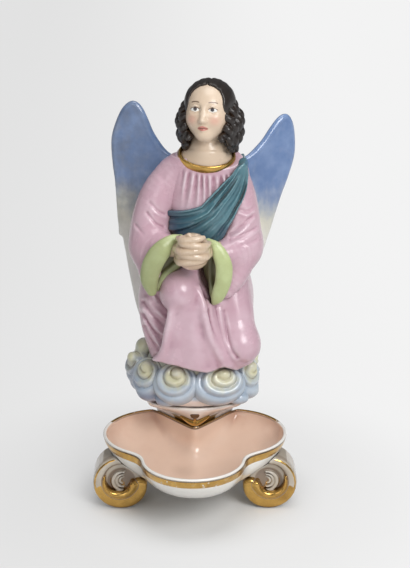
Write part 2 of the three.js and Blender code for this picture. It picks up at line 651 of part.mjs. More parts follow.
// Hair over the crown and nape, cut away in front of the hairline.
function hairCap(grow = 0) {
  const cap = skull(HAIR_THICK + grow);
  const nape = [
    inHead(0, HEAD_DEEP * 0.24, 0, HEAD_WIDE * 1.1, HEAD_DEEP * 0.5),
    inHead(0, HEAD_DEEP * 0.22, -HEAD_TALL * 0.45, HEAD_WIDE * 1.1, HEAD_DEEP * 0.42),
  ];
  const brow = [
    inHead(0, -HEAD_DEEP, -HEAD_TALL, HEAD_WIDE * 2, HEAD_DEEP * 2.5),
    inHead(0, -HEAD_DEEP, HEAD_TALL * 0.1, HEAD_WIDE * 1.6, HEAD_DEEP * 1.5),
  ];
  return join([cap, limb(nape, { grow, steps: 2 })]).subtract(limb(brow, { grow: -grow, steps: 2 }));
}

// A bunch of ringlets beside the face, as balls of hair in two staggered rows.
function locks(sign) {
  const balls = [];
  for (let row = 0; row < LOCK_BALLS; row += 1) {
    const fall = row / (LOCK_BALLS - 1);
    const swell = Math.sin(fall * Math.PI);
    const thick = LOCK_THICK * (0.85 + 0.25 * swell);
    const out = HEAD_WIDE * 0.46 + LOCK_THICK * 0.3 * swell;
    const { at } = inHead(sign * out, 0, HEAD_TALL * 0.18 - LOCKS_HANG * fall, 0, 0);
    balls.push(ball(at.x, at.y - thick * 0.2, at.z, thick));
    balls.push(ball(at.x + sign * thick * 0.15, at.y + thick * 0.6, at.z - thick * 0.3, thick));
  }
  return join(balls);
}

// Wings

// Outline of the left wing seen from the front, with its root at 0, 0 and its tip up and out.
function wingShape() {
  const shape = new THREE.Shape();
  const out = WING_ROUND - WING_REACH;
  const rise = WING_RISE - WING_ROUND;
  const step = -WING_STEP;
  const fall = -WING_FALL;
  shape.moveTo(WING_ROOT_APART * 0.4, 4);
  shape.bezierCurveTo(out * 0.45, 0, out * 0.56, rise * 0.5, out * 0.72, rise);
  shape.bezierCurveTo(out * 0.84, rise, out * 0.98, rise * 0.62, out, rise * 0.2);
  shape.bezierCurveTo(out * 1.01, step * 0.3, out * 0.94, step * 0.7, out * 0.93, step);
  shape.lineTo(out * 0.87, step * 1.03);
  shape.bezierCurveTo(out * 0.8, fall * 0.7, out * 0.72, fall * 0.9, out * 0.6, fall);
  shape.bezierCurveTo(out * 0.3, fall * 0.9, out * 0.1, fall * 0.5, WING_ROOT_APART * 0.3, step * 0.6);
  shape.closePath();
  return shape;
}

function wing(sign, grow = 0) {
  const round = WING_ROUND + grow;
  const geometry = new THREE.ExtrudeGeometry(wingShape(), {
    depth: WING_THICK - 2 * WING_ROUND,
    bevelSize: round,
    bevelThickness: round,
    bevelSegments: 1,
    curveSegments: 5,
  });
  geometry.translate(0, 0, -(WING_THICK / 2 - WING_ROUND)).rotateX(90 * DEGREE);
  let body = solid(geometry);
  if (sign > 0) body = body.mirror([1, 0, 0]).rotate([0, WING_DROP_RIGHT, 0]);
  const sweep = sign < 0 ? -WING_SWEEP_LEFT : WING_SWEEP_RIGHT;
  const rootX = SHOULDERS_X + (sign * WING_ROOT_APART) / 2;
  const rootZ = WAIST + TORSO_HEIGHT * 0.8;
  const rootY = bodiceY(rootX, rootZ, 1) + WING_THICK / 2 - JOINT_DEPTH;
  return body.rotate([0, 0, sweep]).translate([rootX, rootY, rootZ]);
}

// Curls of cloud: three stacked rounds, each smaller, further out and higher

function swirl(angle, radius, grow = 0) {
  const turn = angle * DEGREE;
  const lean = SWIRL_TILT * DEGREE;
  const placeX = (CLOUD_WIDE / 2) * Math.cos(turn);
  const placeY = (CLOUD_DEEP / 2) * Math.sin(turn);
  const tilted = new THREE.Matrix4().makeRotationY(-lean);
  const facing = new THREE.Matrix4().makeRotationZ(turn).multiply(tilted);
  const rounds = [
    { size: 1, out: 0, up: 0 },
    { size: 0.68, out: 0.5, up: 0.2 },
    { size: 0.34, out: 0.95, up: 0.34 },
  ];
  return join(
    rounds.map(({ size, out, up }) => {
      const geometry = new THREE.SphereGeometry(1, BALL_SIDES, 4);
      geometry.scale(SWIRL_THICK + grow, radius * size + grow, radius * size * 0.86 + grow);
      geometry.translate(SWIRL_THICK * out * 0.8, 0, radius * up).applyMatrix4(facing);
      return solid(geometry.translate(placeX, placeY, SWIRL_RAISE));
    }),
  );
}

// Where the curls lie round the clouds, in degrees from the right, larger ones first.
const SWIRLS = [
  { name: "cloud_swirl_front_left", angle: -108, radius: SWIRL_RADIUS },
  { name: "cloud_swirl_front_right", angle: -58, radius: SWIRL_RADIUS },
  { name: "cloud_curl_left", angle: -152, radius: CURL_RADIUS },
  { name: "cloud_curl_right", angle: -20, radius: CURL_RADIUS },
  { name: "cloud_curl_left_side", angle: 172, radius: CURL_RADIUS },
  { name: "cloud_curl_right_side", angle: 14, radius: CURL_RADIUS },
  { name: "cloud_curl_left_back", angle: 128, radius: CURL_RADIUS },
  { name: "cloud_curl_right_back", angle: 52, radius: CURL_RADIUS },
  { name: "cloud_curl_back", angle: 90, radius: CURL_RADIUS },
];

// Finishes
const glaze = (color, roughness = 0.15, metalness = 0) =>
  new THREE.MeshStandardMaterial({ color, roughness, metalness });
const WHITE = glaze("#efeeea");
const GILDING = glaze("#b98b34", 0.25, 1);
const PINK = glaze("#cfa3b6");
const TEAL = glaze("#4f8087");
const GREEN = glaze("#b4cb8c");
const FLESH = glaze("#e9dccd");
const HAIR = glaze("#2f2824");
const BLUE = glaze("#7d9acb");
const CLOUD = glaze("#c6d4e2");

function piece(name, body, material) {
  const mesh = new THREE.Mesh(geometryOf(body), material);
  mesh.name = name;
  return mesh;
}

function buildStand() {
  const stand = new THREE.Group();
  const foot = scrollFoot();
  const right = piece("scroll_foot_right", foot, GILDING);
  right.scale.x = -1;
  stand.add(
    piece("basin", basin(), WHITE),
    piece("scroll_foot_left", foot, GILDING),
    right,
    piece("plinth", plinth(), WHITE),
    piece("plinth_leaf", leaf(), GILDING),
  );
  return stand;
}

function buildClouds(robe) {
  const base = stack(cloudSections(), SEAM, { steps: 4 });
  const clouds = new THREE.Group();
  clouds.add(piece("cloud_base", cloudBase(), CLOUD));
  const placed = [base, robe];
  for (const { name, angle, radius } of SWIRLS) {
    clouds.add(piece(name, fitted(swirl(angle, radius), placed), CLOUD));
    placed.push(swirl(angle, radius, SEAM));
  }
  return clouds;
}

function buildAngel() {
  const robe = skirt(SEAM);
  const bodice = stack(torsoSections(), SEAM);
  const throat = neck(SEAM);
  const band = collar(SEAM);
  const drape = sash(SEAM);
  const cap = hairCap(SEAM);
  const wings = [wing(-1, SEAM), wing(1, SEAM)];
  const face = join([skull(SEAM), throat]);
  const sleeves = [sleeve(-1, SEAM), sleeve(1, SEAM)];
  const cuffs = [cuff(-1, SEAM), cuff(1, SEAM)];
  const torso = stack(torsoSections());
  const inside = hollow(torsoSections(), false, SEAM);
  const angel = new THREE.Group();
  angel.add(
    piece("skirt", skirt(), PINK),
    piece("torso", fitted(torso, [hollow(torsoSections(), false), throat, ...wings]), PINK),
    piece("collar", fitted(collar(), [bodice, throat]), GILDING),
    piece("sash", fitted(sash(), [bodice, throat, band, robe, ...wings]), TEAL),
    piece("sleeve_left", fitted(sleeve(-1), [bodice, drape, robe, ...wings]), PINK),
    piece("sleeve_right", fitted(sleeve(1), [bodice, drape, robe, ...wings]), PINK),
    piece("cuff_left", fitted(cuff(-1), [bodice, drape, robe, sleeves[0]]), GREEN),
    piece("cuff_right", fitted(cuff(1), [bodice, drape, robe, sleeves[1]]), GREEN),
    piece("hands", fitted(clasped(), [bodice, drape, robe, ...sleeves, ...cuffs]), FLESH),
    piece("head", fitted(head(), [band]), FLESH),
    piece("hair_cap", fitted(hairCap(), [face, bodice, band, drape]), HAIR),
    piece("hair_left", fitted(locks(-1), [face, cap, bodice, band, drape, sleeves[0]]), HAIR),
    piece("hair_right", fitted(locks(1), [face, cap, bodice, band, drape, sleeves[1]]), HAIR),
    piece("wing_left", fitted(wing(-1), [robe, inside]), BLUE),
    piece("wing_right", fitted(wing(1), [robe, inside, wings[0]]), BLUE),
  );
  angel.add(buildClouds(robe));
  angel.position.set(0, ANGEL_BEHIND, PLINTH_HEIGHT + SEAM);
  return angel;
}

// The whole stoup, moved so that the middle of its footprint is at x 0, y 0.
const stoup = new THREE.Group();
stoup.add(buildStand(), buildAngel());
const footprint = new THREE.Box3().setFromObject(stoup).getCenter(new THREE.Vector3());
stoup.position.set(-footprint.x, -footprint.y, 0);

export default stoup;
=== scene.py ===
"""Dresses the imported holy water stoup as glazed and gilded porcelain, on a pale floor in soft light."""

import math

import bpy
import numpy as np
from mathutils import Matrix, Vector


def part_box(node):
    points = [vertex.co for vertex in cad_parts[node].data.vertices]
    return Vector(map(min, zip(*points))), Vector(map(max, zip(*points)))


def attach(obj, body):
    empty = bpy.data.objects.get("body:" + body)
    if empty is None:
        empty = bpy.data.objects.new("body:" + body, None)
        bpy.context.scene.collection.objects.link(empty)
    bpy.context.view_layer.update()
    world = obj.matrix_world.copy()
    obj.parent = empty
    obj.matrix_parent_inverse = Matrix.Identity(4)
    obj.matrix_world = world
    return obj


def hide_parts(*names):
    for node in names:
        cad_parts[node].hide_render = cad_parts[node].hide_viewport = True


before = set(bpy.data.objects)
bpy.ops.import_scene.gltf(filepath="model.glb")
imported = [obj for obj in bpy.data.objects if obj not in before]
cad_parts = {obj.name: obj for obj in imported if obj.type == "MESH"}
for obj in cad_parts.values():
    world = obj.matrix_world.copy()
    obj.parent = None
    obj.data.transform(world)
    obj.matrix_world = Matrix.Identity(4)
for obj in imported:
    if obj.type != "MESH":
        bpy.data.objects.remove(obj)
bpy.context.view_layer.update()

# Shapes are written in millimetres from the basin's middle on the floor, front towards -y.
MM = 0.001
FOOT_MIDDLE_Y = 11.0
RIM_Z = 50.0
PLINTH_Z = 66.0
HEM_Z = 96.6
BASIN_LOW, BASIN_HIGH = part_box("basin")
FOOT_LOW, FOOT_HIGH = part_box("scroll_foot_left")
SHIFT = np.array([
    (BASIN_LOW.x + BASIN_HIGH.x) / 2 / MM,
    (FOOT_LOW.y + FOOT_HIGH.y) / 2 / MM - FOOT_MIDDLE_Y,
    0.0,
])

# Weights of x, y and z in a distance: under 1, a bar is thicker and a crease reaches further that way.
EVEN = (1, 1, 1)
FRONTAL = (1, 0.3, 1)
FLAT = (1, 0, 1)


# Clay: distances in millimetres on a grid, negative inside

def soft_min(a, b, blend):
    """The lesser of two distances, with the join rounded over the blend."""
    if blend <= 0:
        return np.minimum(a, b)
    near = np.maximum(blend - np.abs(a - b), 0) / blend
    return np.minimum(a, b) - near * near * blend / 4


def soft_max(a, b, blend):
    return -soft_min(-a, -b, blend)


def ease(value, low, high):
    """A smooth rise from 0 at low to 1 at high, or a fall where high is the lesser."""
    share = np.clip((value - low) / (high - low), 0, 1)
    return share * share * (3 - 2 * share)


def bell(value, width):
    return np.exp(-((value / width) ** 2))


def flowing(points, steps=4):
    """Points on a smooth line through the given points, whatever their number of columns."""
    p = np.array(points, float)
    ends = np.vstack([2 * p[0] - p[1], p, 2 * p[-1] - p[-2]])
    rows = []
    for i in range(len(p) - 1):
        a, b, c, d = ends[i:i + 4]
        for t in np.arange(steps) / steps:
            rows.append(0.5 * (2 * b + (c - a) * t + (2 * a - 5 * b + 4 * c - d) * t ** 2
                               + (3 * b - a - 3 * c + d) * t ** 3))
    return np.array(rows + [p[-1]])


def turned(yaw=0, pitch=0, roll=0):
    """Rows are a piece's own axes after a roll about y, a pitch about x and a yaw about z, in degrees."""
    a, b, c = (math.radians(v) for v in (yaw, pitch, roll))
    about_z = np.array([[math.cos(a), -math.sin(a), 0], [math.sin(a), math.cos(a), 0], [0, 0, 1]])
    about_x = np.array([[1, 0, 0], [0, math.cos(b), -math.sin(b)], [0, math.sin(b), math.cos(b)]])
    about_y = np.array([[math.cos(c), 0, math.sin(c)], [0, 1, 0], [-math.sin(c), 0, math.cos(c)]])
    return (about_z @ about_x @ about_y).T


def local(middle, axes, x, y, z):
    x, y, z = x - middle[0], y - middle[1], z - middle[2]
    return [axis[0] * x + axis[1] * y + axis[2] * z for axis in axes]


# A shape is its lowest corner, its highest corner and its distance at x, y, z.

def ellipsoid(middle, radii, axes=np.eye(3)):
    reach = np.abs(np.array(axes).T) @ np.array(radii, float)

    def distance(x, y, z):
        p = local(middle, axes, x, y, z)
        near = np.sqrt(sum((v / r) ** 2 for v, r in zip(p, radii)))
        slope = np.sqrt(sum((v / r / r) ** 2 for v, r in zip(p, radii)))
        return near * (near - 1) / np.maximum(slope, 1e-6)

    return np.array(middle) - reach, np.array(middle) + reach, distance


def line_distance(points, x, y, z, weights=EVEN):
    """Distance to a line of points x, y, z, radius, less the radius there."""
    best = None
    for a, b in zip(points[:-1], points[1:]):
        along = (b - a)[:3] * weights
        length = float(along @ along)
        p = [(v - a[i]) * weights[i] for i, v in enumerate((x, y, z))]
        t = np.clip((p[0] * along[0] + p[1] * along[1] + p[2] * along[2]) / max(length, 1e-9), 0, 1)
        gap = np.sqrt(sum((p[i] - t * along[i]) ** 2 for i in range(3))) - (a[3] + t * (b[3] - a[3]))
        best = gap if best is None else np.minimum(best, gap)
    return best


def tube(points, steps=4, weights=EVEN):
    """A round bar through points x, y, z, radius."""
    line = flowing(points, steps)
    reach = line[:, 3:].max() / np.array(weights)
    low = line[:, :3].min(0) - reach
    return low, line[:, :3].max(0) + reach, lambda x, y, z: line_distance(line, x, y, z, weights)


def stack(sections, power=2.0):
    """A body of level ovals z, x, y, width, depth. A power over 2 squares the ovals off."""
    rows = flowing(sections, 8)
    rows = rows[np.argsort(rows[:, 0], kind="stable")]
    wide, deep = rows[:, 3].max() / 2, rows[:, 4].max() / 2
    low = [rows[:, 1].min() - wide, rows[:, 2].min() - deep, rows[0, 0]]
    high = [rows[:, 1].max() + wide, rows[:, 2].max() + deep, rows[-1, 0]]

    def distance(x, y, z):
        mid_x, mid_y, w, d = (np.interp(z, rows[:, 0], rows[:, i]) for i in (1, 2, 3, 4))
        off = (np.abs(2 * (x - mid_x) / w) ** power + np.abs(2 * (y - mid_y) / d) ** power) ** (1 / power)
        side = (off - 1) * np.minimum(w, d) / 2
        return soft_max(side, np.maximum(low[2] - z, z - high[2]), 2.0)

    return np.array(low), np.array(high), distance


def oval_ring(middle, axes, radii, thick):
    """A ring round the third axis: radii along the first two, thick across and along the third."""
    reach = np.abs(np.array(axes).T) @ np.array([radii[0] + thick[0], radii[1] + thick[0], thick[1]])

    def distance(x, y, z):
        u, v, w = local(middle, axes, x, y, z)
        out = np.sqrt((u / radii[0]) ** 2 + (v / radii[1]) ** 2) + 1e-9
        across = (out - 1) * np.sqrt(u * u + v * v) / out
        return (np.sqrt((across / thick[0]) ** 2 + (w / thick[1]) ** 2) - 1) * min(thick)

    return np.array(middle) - reach, np.array(middle) + reach, distance


def cells_round(spots, u, v):
    """The four cells that share each edge of the grid, in turn."""
    for du, dv in ((0, 0), (1, 0), (1, 1), (0, 1)):
        home = spots.copy()
        home[:, u] -= du
        home[:, v] -= dv
        yield tuple(home.T)


class Clay:
    """A block of cells in which shapes are added, cut and pushed, until its skin is taken."""

    MARGIN = 3
    FAR = 50
    NEAR = 6

    def __init__(self, low, high, cell):
        self.cell = cell
        self.low = np.array(low, float) - self.MARGIN * cell
        count = np.ceil((np.array(high, float) + self.MARGIN * cell - self.low) / cell).astype(int) + 1
        self.axes = [self.low[i] + cell * np.arange(count[i]) for i in range(3)]
        self.field = np.full(count, self.FAR, np.float32)

    def window(self, low, high, pad=0):
        """The cells between two corners, and their places."""
        cuts = []
        for axis, a, b in zip(self.axes, low, high):
            first = np.searchsorted(axis, a - pad)
            cuts.append(slice(first, max(np.searchsorted(axis, b + pad), first)))
        return tuple(cuts), np.ix_(*[axis[cut] for axis, cut in zip(self.axes, cuts)])

    def add(self, shape, blend=0.0):
        low, high, distance = shape
        cuts, places = self.window(low, high, blend + self.MARGIN * self.cell)
        self.field[cuts] = soft_min(self.field[cuts], distance(*places), blend)

    def cut(self, shape, blend=0.0):
        low, high, distance = shape
        cuts, places = self.window(low, high, blend + self.MARGIN * self.cell)
        self.field[cuts] = soft_max(self.field[cuts], -distance(*places), blend)

    def keep(self, distance, blend=0.0):
        """Cuts away all that lies where the distance is over 0."""
        self.field = soft_max(self.field, distance(*np.ix_(*self.axes)), blend).astype(np.float32)

    def push(self, amount, low=(-1e4,) * 3, high=(1e4,) * 3):
        """Moves the surface in by amount(x, y, z), or out where that is negative."""
        cuts, places = self.window(low, high)
        self.field[cuts] = self.field[cuts] + amount(*places)

    def crease(self, points, width, depth):
        """A groove along a line of points, or a ridge where depth is negative."""
        line = flowing(points)
        line = np.hstack([line, np.zeros((len(line), 1))])
        reach = 2.5 * width / np.array(FRONTAL)
        low, high = line[:, :3].min(0) - reach, line[:, :3].max(0) + reach
        self.push(lambda *place: depth * bell(line_distance(line, *place, FRONTAL), width), low, high)

    def soften(self):
        """Each cell averaged with its neighbours, along one axis after the other."""
        f = np.clip(self.field, -self.NEAR, self.NEAR)
        for axis in range(3):
            g = np.moveaxis(f, axis, 0)
            g[1:-1] = (g[:-2] + 2 * g[1:-1] + g[2:]) / 4
        self.field = f

    def sample(self, grid, places):
        """Values of a grid at places between its points."""
        spot = np.clip((places - self.low) / self.cell, 0, np.array(grid.shape) - 1.001)
        base = spot.astype(int)
        part = spot - base
        total = 0
        for corner in np.ndindex(2, 2, 2):
            share = np.prod(np.where(corner, part, 1 - part), axis=1)
            total = total + share * grid[tuple((base + corner).T)]
        return total

    def skin(self):
        """Corners and four-sided faces of the surface, one corner in each cell that it crosses."""
        f = self.field
        inside = f < 0
        total = np.zeros([n - 1 for n in f.shape] + [3], np.float32)
        hits = np.zeros([n - 1 for n in f.shape], np.float32)
        edges = []
        for axis in range(3):
            first = [slice(None)] * 3
            second = [slice(None)] * 3
            first[axis], second[axis] = slice(None, -1), slice(1, None)
            first, second = tuple(first), tuple(second)
            spots = np.argwhere(inside[first] != inside[second])
            values_a, values_b = f[first][tuple(spots.T)], f[second][tuple(spots.T)]
            place = spots.astype(np.float32)
            place[:, axis] += values_a / (values_a - values_b)
            u, v = [i for i in range(3) if i != axis]
            for home in cells_round(spots, u, v):
                np.add.at(total, home, place)
                np.add.at(hits, home, 1)
            edges.append((u, v, spots, (values_a < 0) != (axis == 1)))
        used = hits > 0
        number = np.full(hits.shape, -1, int)
        number[used] = np.arange(used.sum())
        places = self.low + self.cell * (total[used] / hits[used][:, None]).astype(float)
        faces = []
        for u, v, spots, outward in edges:
            quad = np.stack([number[home] for home in cells_round(spots, u, v)], 1)
            faces.append(np.where(outward[:, None], quad, quad[:, ::-1]))
        slopes = np.gradient(f, self.cell)
        for _ in range(2):
            value = self.sample(f, places)
            slope = np.stack([self.sample(g, places) for g in slopes], 1)
            step = value / np.maximum((slope ** 2).sum(1), 0.05)
            places -= np.clip(step, -self.cell / 2, self.cell / 2)[:, None] * slope
        return places, np.vstack(faces)


def averaged(values, faces, rounds):
    """Each corner's value replaced by the mean of its own and its neighbours', some rounds over."""
    count = len(values)
    a = faces.ravel()
    b = np.roll(faces, -1, 1).ravel()
    shared = np.bincount(a, minlength=count) + np.bincount(b, minlength=count)
    for _ in range(rounds):
        columns = []
        for column in values.T:
            near = np.bincount(a, column[b], count) + np.bincount(b, column[a], count)
            columns.append(near / np.maximum(shared, 1))
        values = (values + np.stack(columns, 1)) / 2
    return values


RELIEF_ROUNDS = 10


def build(name, node, slot, finish, places, faces, paint=None):
    """A piece that stands for a CAD node, with its relief and any painted masks kept on its corners."""
    mesh = bpy.data.meshes.new(name)
    mesh.vertices.add(len(places))
    mesh.vertices.foreach_set("co", ((places + SHIFT) * MM).astype(np.float32).ravel())
    mesh.loops.add(faces.size)
    mesh.loops.foreach_set("vertex_index", faces.ravel().astype(np.int32))
    mesh.polygons.add(len(faces))
    mesh.polygons.foreach_set("loop_start", np.arange(0, faces.size, faces.shape[1], dtype=np.int32))
    mesh.polygons.foreach_set("use_smooth", np.ones(len(faces), bool))
    mesh.update(calc_edges=True)
    mesh.validate()
    normals = np.zeros(len(places) * 3, np.float32)
    mesh.vertex_normals.foreach_get("vector", normals)
    normals = normals.reshape(-1, 3)
    masks = {"relief": ((averaged(places, faces, RELIEF_ROUNDS) - places) * normals).sum(1)}
    if paint:
        masks.update(paint(*places.T, normals))
    for mask, values in masks.items():
        layer = mesh.attributes.new(mask, "FLOAT", "POINT")
        layer.data.foreach_set("value", np.asarray(values, np.float32))
    piece = bpy.data.objects.new(name, mesh)
    bpy.context.scene.collection.objects.link(piece)
    mesh.materials.append(finish)
    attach(piece, "root")
    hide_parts(node)


def sculpt(name, node, slot, finish, clay, paint=None):
    build(name, node, slot, finish, *clay.skin(), paint)


# Finishes

def colour(red, green, blue):
    """A colour written as screen values from 0 to 255."""
    shares = [v / 255 for v in (red, green, blue)]
    return [v / 12.92 if v <= 0.04045 else ((v + 0.055) / 1.055) ** 2.4 for v in shares] + [1.0]


def tones(*rows):
    """An enamel's colours: its base, in folds where it pools and shade is painted, and on ridges where it is
    thin and highlight is painted.
    """
    return [colour(*row) for row in rows]


WHITE = colour(240, 237, 231)
GOLD = colour(192, 151, 78)
GOLD_BRIGHT = colour(214, 172, 92)
GOLD_DEEP = colour(128, 84, 30)
BROWN = colour(98, 66, 40)
# Brown for narrow gaps: painted shade, with dirt.
GAP_SHADE_AND_DIRT = colour(84, 62, 46)
PINK = tones((200, 164, 177), (154, 108, 125), (228, 208, 216))
PINK_SHADE = colour(74, 50, 44)
TEAL = tones((72, 114, 126), (28, 52, 66), (126, 164, 172))
TEAL_SHADE = colour(40, 58, 82)
GREEN = tones((182, 192, 138), (96, 106, 52), (206, 220, 166))
GREEN_SHADE = colour(76, 66, 42)
FLESH = tones((204, 180, 154), (132, 98, 72), (236, 220, 202))
FACE = tones((216, 194, 170), (214, 176, 150), (246, 232, 216))
HAIR = tones((34, 29, 27), (10, 8, 7), (70, 60, 54))
SKY = tones((98, 126, 172), (68, 94, 150), (138, 160, 198))
FEATHER = tones((226, 224, 218), (180, 178, 174), (236, 234, 230))
FEATHER_MOSS = colour(214, 210, 180)
FEATHER_SHADE_AND_SOOT = colour(98, 98, 96)
CLOUD = tones((176, 191, 207), (78, 92, 122), (212, 220, 226))
CLOUD_SHADE = colour(112, 122, 156)
CLOUD_BAND = colour(238, 222, 213)
OCHRE = (138, 116, 78)
MOSS = tones((214, 213, 176), OCHRE, (232, 226, 206))
SALMON = tones((232, 204, 184), (206, 166, 144), (240, 214, 196))
FOOT_WHITE = tones((182, 170, 153), (108, 92, 78)) + [WHITE]
PLINTH_WHITE = tones((238, 226, 218), (196, 170, 158)) + [WHITE]
# What is painted on the face: the mask, where it starts and is full, how much covers and the colour.
FACE_PAINT = [
    ("blush", 0.0, 1.0, 0.55, colour(222, 150, 136)),
    ("lips", 0.3, 0.7, 0.8, colour(190, 98, 92)),
    ("eyes", 0.4, 0.6, 1.0, colour(238, 236, 230)),
    ("iris", 0.4, 0.6, 1.0, colour(70, 66, 70)),
    ("lines", 0.35, 0.65, 0.85, colour(92, 62, 46)),
]


class Finish:
    """A material and short calls that make its nodes."""

    def __init__(self, name, coat=0.35, gloss=0.16):
        self.material = bpy.data.materials.new(name)
        self.material.use_nodes = True
        self.tree = self.material.node_tree
        self.shader = self.tree.nodes["Principled BSDF"]
        self.set(Roughness=gloss, Coat_Weight=coat, Coat_Roughness=0.09)

    def node(self, kind, inputs, output=0, **settings):
        made = self.tree.nodes.new("ShaderNode" + kind)
        for key, value in settings.items():
            setattr(made, key, value)
        for key, value in inputs.items():
            self.put(made.inputs[key], value)
        return made.outputs[output]

    def put(self, socket, value):
        if isinstance(value, bpy.types.NodeSocket):
            self.tree.links.new(value, socket)
        else:
            socket.default_value = value

    def set(self, **values):
        for key, value in values.items():
            self.put(self.shader.inputs[key.replace("_", " ")], value)
        return self.material

    def math(self, operation, a, b):
        return self.node("Math", {0: a, 1: b}, operation=operation)

    def mix(self, share, a, b):
        return self.node("Mix", {0: share, 6: a, 7: b}, 2, data_type="RGBA")

    def step(self, value, low, high, start=0.0, end=1.0):
        inputs = {"Value": value, "From Min": low, "From Max": high, "To Min": start, "To Max": end}
        return self.node("MapRange", inputs, interpolation_type="SMOOTHSTEP")

    def painted(self, mask):
        return self.node("Attribute", {}, "Fac", attribute_name=mask)

    def shaded(self, mask, most, tone, shade):
        """The colour with another one laid over it where the mask is set."""
        return self.mix(self.math("MULTIPLY", self.painted(mask), most), tone, shade)

    def noise(self, grain, detail=3.0, stretch=EVEN):
        """Cloudy values about 0.5, with patches of about grain millimetres."""
        place = self.node("TexCoord", {}, "Object")
        scale = [s / (grain * MM) for s in stretch]
        spot = self.node("Mapping", {"Vector": place, "Scale": scale})
        inputs = {"Vector": spot, "Scale": 1.0, "Detail": detail, "Roughness": 0.55}
        return self.node("TexNoise", inputs, "Fac")

    def patches(self, grain, low, high, start=0.0, end=1.0, **options):
        return self.step(self.noise(grain, **options), low, high, start, end)

    def bump(self, height, depth, strength):
        inputs = {"Height": height, "Distance": depth * MM, "Strength": strength}
        self.set(Normal=self.node("Bump", inputs))

    def shade_and_dirt_in_gaps(self, tone, most=0.75, depth=5.0):
        """The colour darkened in gaps narrower than about the depth in millimetres: painted shade, with dirt
        settled there.
        """
        free = self.node("AmbientOcclusion", {"Distance": depth * MM}, "AO", samples=6)
        return self.mix(self.step(free, 0.72, 0.2, 0.0, most), tone, GAP_SHADE_AND_DIRT)


def enamel(finish, base, pooled_and_shaded, ridge, mottle=0.25, grain=9.0, depth=0.5):
    """Glossy enamel, pooled in folds and thin on ridges, with painted shade in folds, painted highlight on
    ridges and brushed unevenness.
    """
    brushed = finish.patches(grain, 0.3, 0.7, -0.12 * depth, 0.12 * depth, detail=4.0)
    uneven = finish.math("ADD", finish.painted("relief"), brushed)
    tone = finish.mix(finish.step(uneven, 0.0, -depth, 0.0, 0.85), base, ridge)
    tone = finish.mix(finish.step(uneven, 0.0, depth, 0.0, 0.9), tone, pooled_and_shaded)
    return finish.mix(finish.patches(grain * 2.6, 0.35, 0.75, 0.0, mottle), tone, ridge)


def glossy(finish, tone, rough=0.0, gap_shade_and_dirt_share=0.75):
    """A glaze of uneven gloss over the colour, with painted shade and dirt in its gaps."""
    finish.bump(finish.noise(2.4, 2.0), 0.3, 0.05)
    gloss = finish.patches(14.0, 0.3, 0.7, 0.12 + rough, 0.24 + rough)
    return finish.set(Base_Color=finish.shade_and_dirt_in_gaps(tone, gap_shade_and_dirt_share), Roughness=gloss)


def enamel_finish(name, colours, shade=None, most=0.0, coat=0.35, rough=0.0, gap_shade_and_dirt_share=0.75, **options):
    """Enamel, with a shade laid over it where that mask is set."""
    finish = Finish(name, coat)
    tone = enamel(finish, *colours, **options)
    if shade:
        tone = finish.shaded("shade", most, tone, shade)
    return glossy(finish, tone, rough, gap_shade_and_dirt_share)


def gilded(finish, under, wear=0.45):
    """Gold, and brown for lines and painted shade, laid over a glaze where their masks are set, the gold
    rubbed on its ridges.
    """
    gold = finish.step(finish.painted("gold"), 0.35, 0.6)
    brown = finish.step(finish.painted("brown"), 0.2, 1.0)
    relief = finish.painted("relief")
    rubbed = finish.math("ADD", finish.noise(3.2, 4.0), finish.math("MULTIPLY", relief, -0.35))
    kept = 0.2 * (1 - wear)
    share = finish.math("MULTIPLY", gold, finish.step(rubbed, 0.62 + kept, 0.74 + kept, 1.0, 0.0))
    metal = finish.mix(finish.patches(5.0, 0.35, 0.7), GOLD, GOLD_BRIGHT)
    # The gold is darker in its hollows: painted shade.
    metal = finish.mix(finish.step(relief, 0.02, 0.5), metal, GOLD_DEEP)
    metal = finish.mix(finish.patches(10.0, 0.5, 0.75, 0.0, 0.6, detail=4.0), metal, GOLD_DEEP)
    tone = finish.shade_and_dirt_in_gaps(finish.mix(share, finish.mix(brown, under, BROWN), metal))
    finish.bump(finish.noise(1.6), 0.3, 0.08)
    rough = finish.step(share, 0.0, 1.0, 0.14, 0.24)
    return finish.set(Base_Color=tone, Metallic=finish.math("MULTIPLY", share, 0.92), Roughness=rough)


def gilded_finish(name, colours):
    finish = Finish(name)
    return gilded(finish, enamel(finish, *colours, mottle=0.15))


def basin_finish():
    finish = Finish("basin_glaze")
    salmon = enamel(finish, *SALMON, mottle=0.3, grain=16.0, depth=1.2)
    edge = finish.math("ADD", finish.painted("salmon"), finish.patches(4.0, 0.2, 0.8, -0.12, 0.12))
    return gilded(finish, finish.mix(finish.step(edge, 0.4, 0.6), WHITE, salmon), wear=0.6)


def wing_finish():
    finish = Finish("wing_glaze")
    blue = enamel(finish, *SKY, mottle=0.6, grain=6.0, depth=0.35)
    white = enamel(finish, *FEATHER, mottle=0.3)
    low = finish.shaded("moss", 0.55, white, FEATHER_MOSS)
    streaks = finish.patches(5.0, 0.25, 0.75, -0.07, 0.07, detail=4.0, stretch=(1, 1, 0.3))
    uneven = finish.math("ADD", streaks, finish.patches(18.0, 0.25, 0.75, -0.16, 0.16))
    fade = finish.math("ADD", finish.painted("blue"), uneven)
    tone = finish.mix(finish.step(fade, 0.0, 1.0), low, blue)
    # The left wing's outer part greyed in patches: painted shade, with soot.
    shade_and_soot = finish.patches(12.0, 0.3, 0.7, 0.3, 1.0)
    return glossy(finish, finish.shaded("shade", shade_and_soot, tone, FEATHER_SHADE_AND_SOOT))


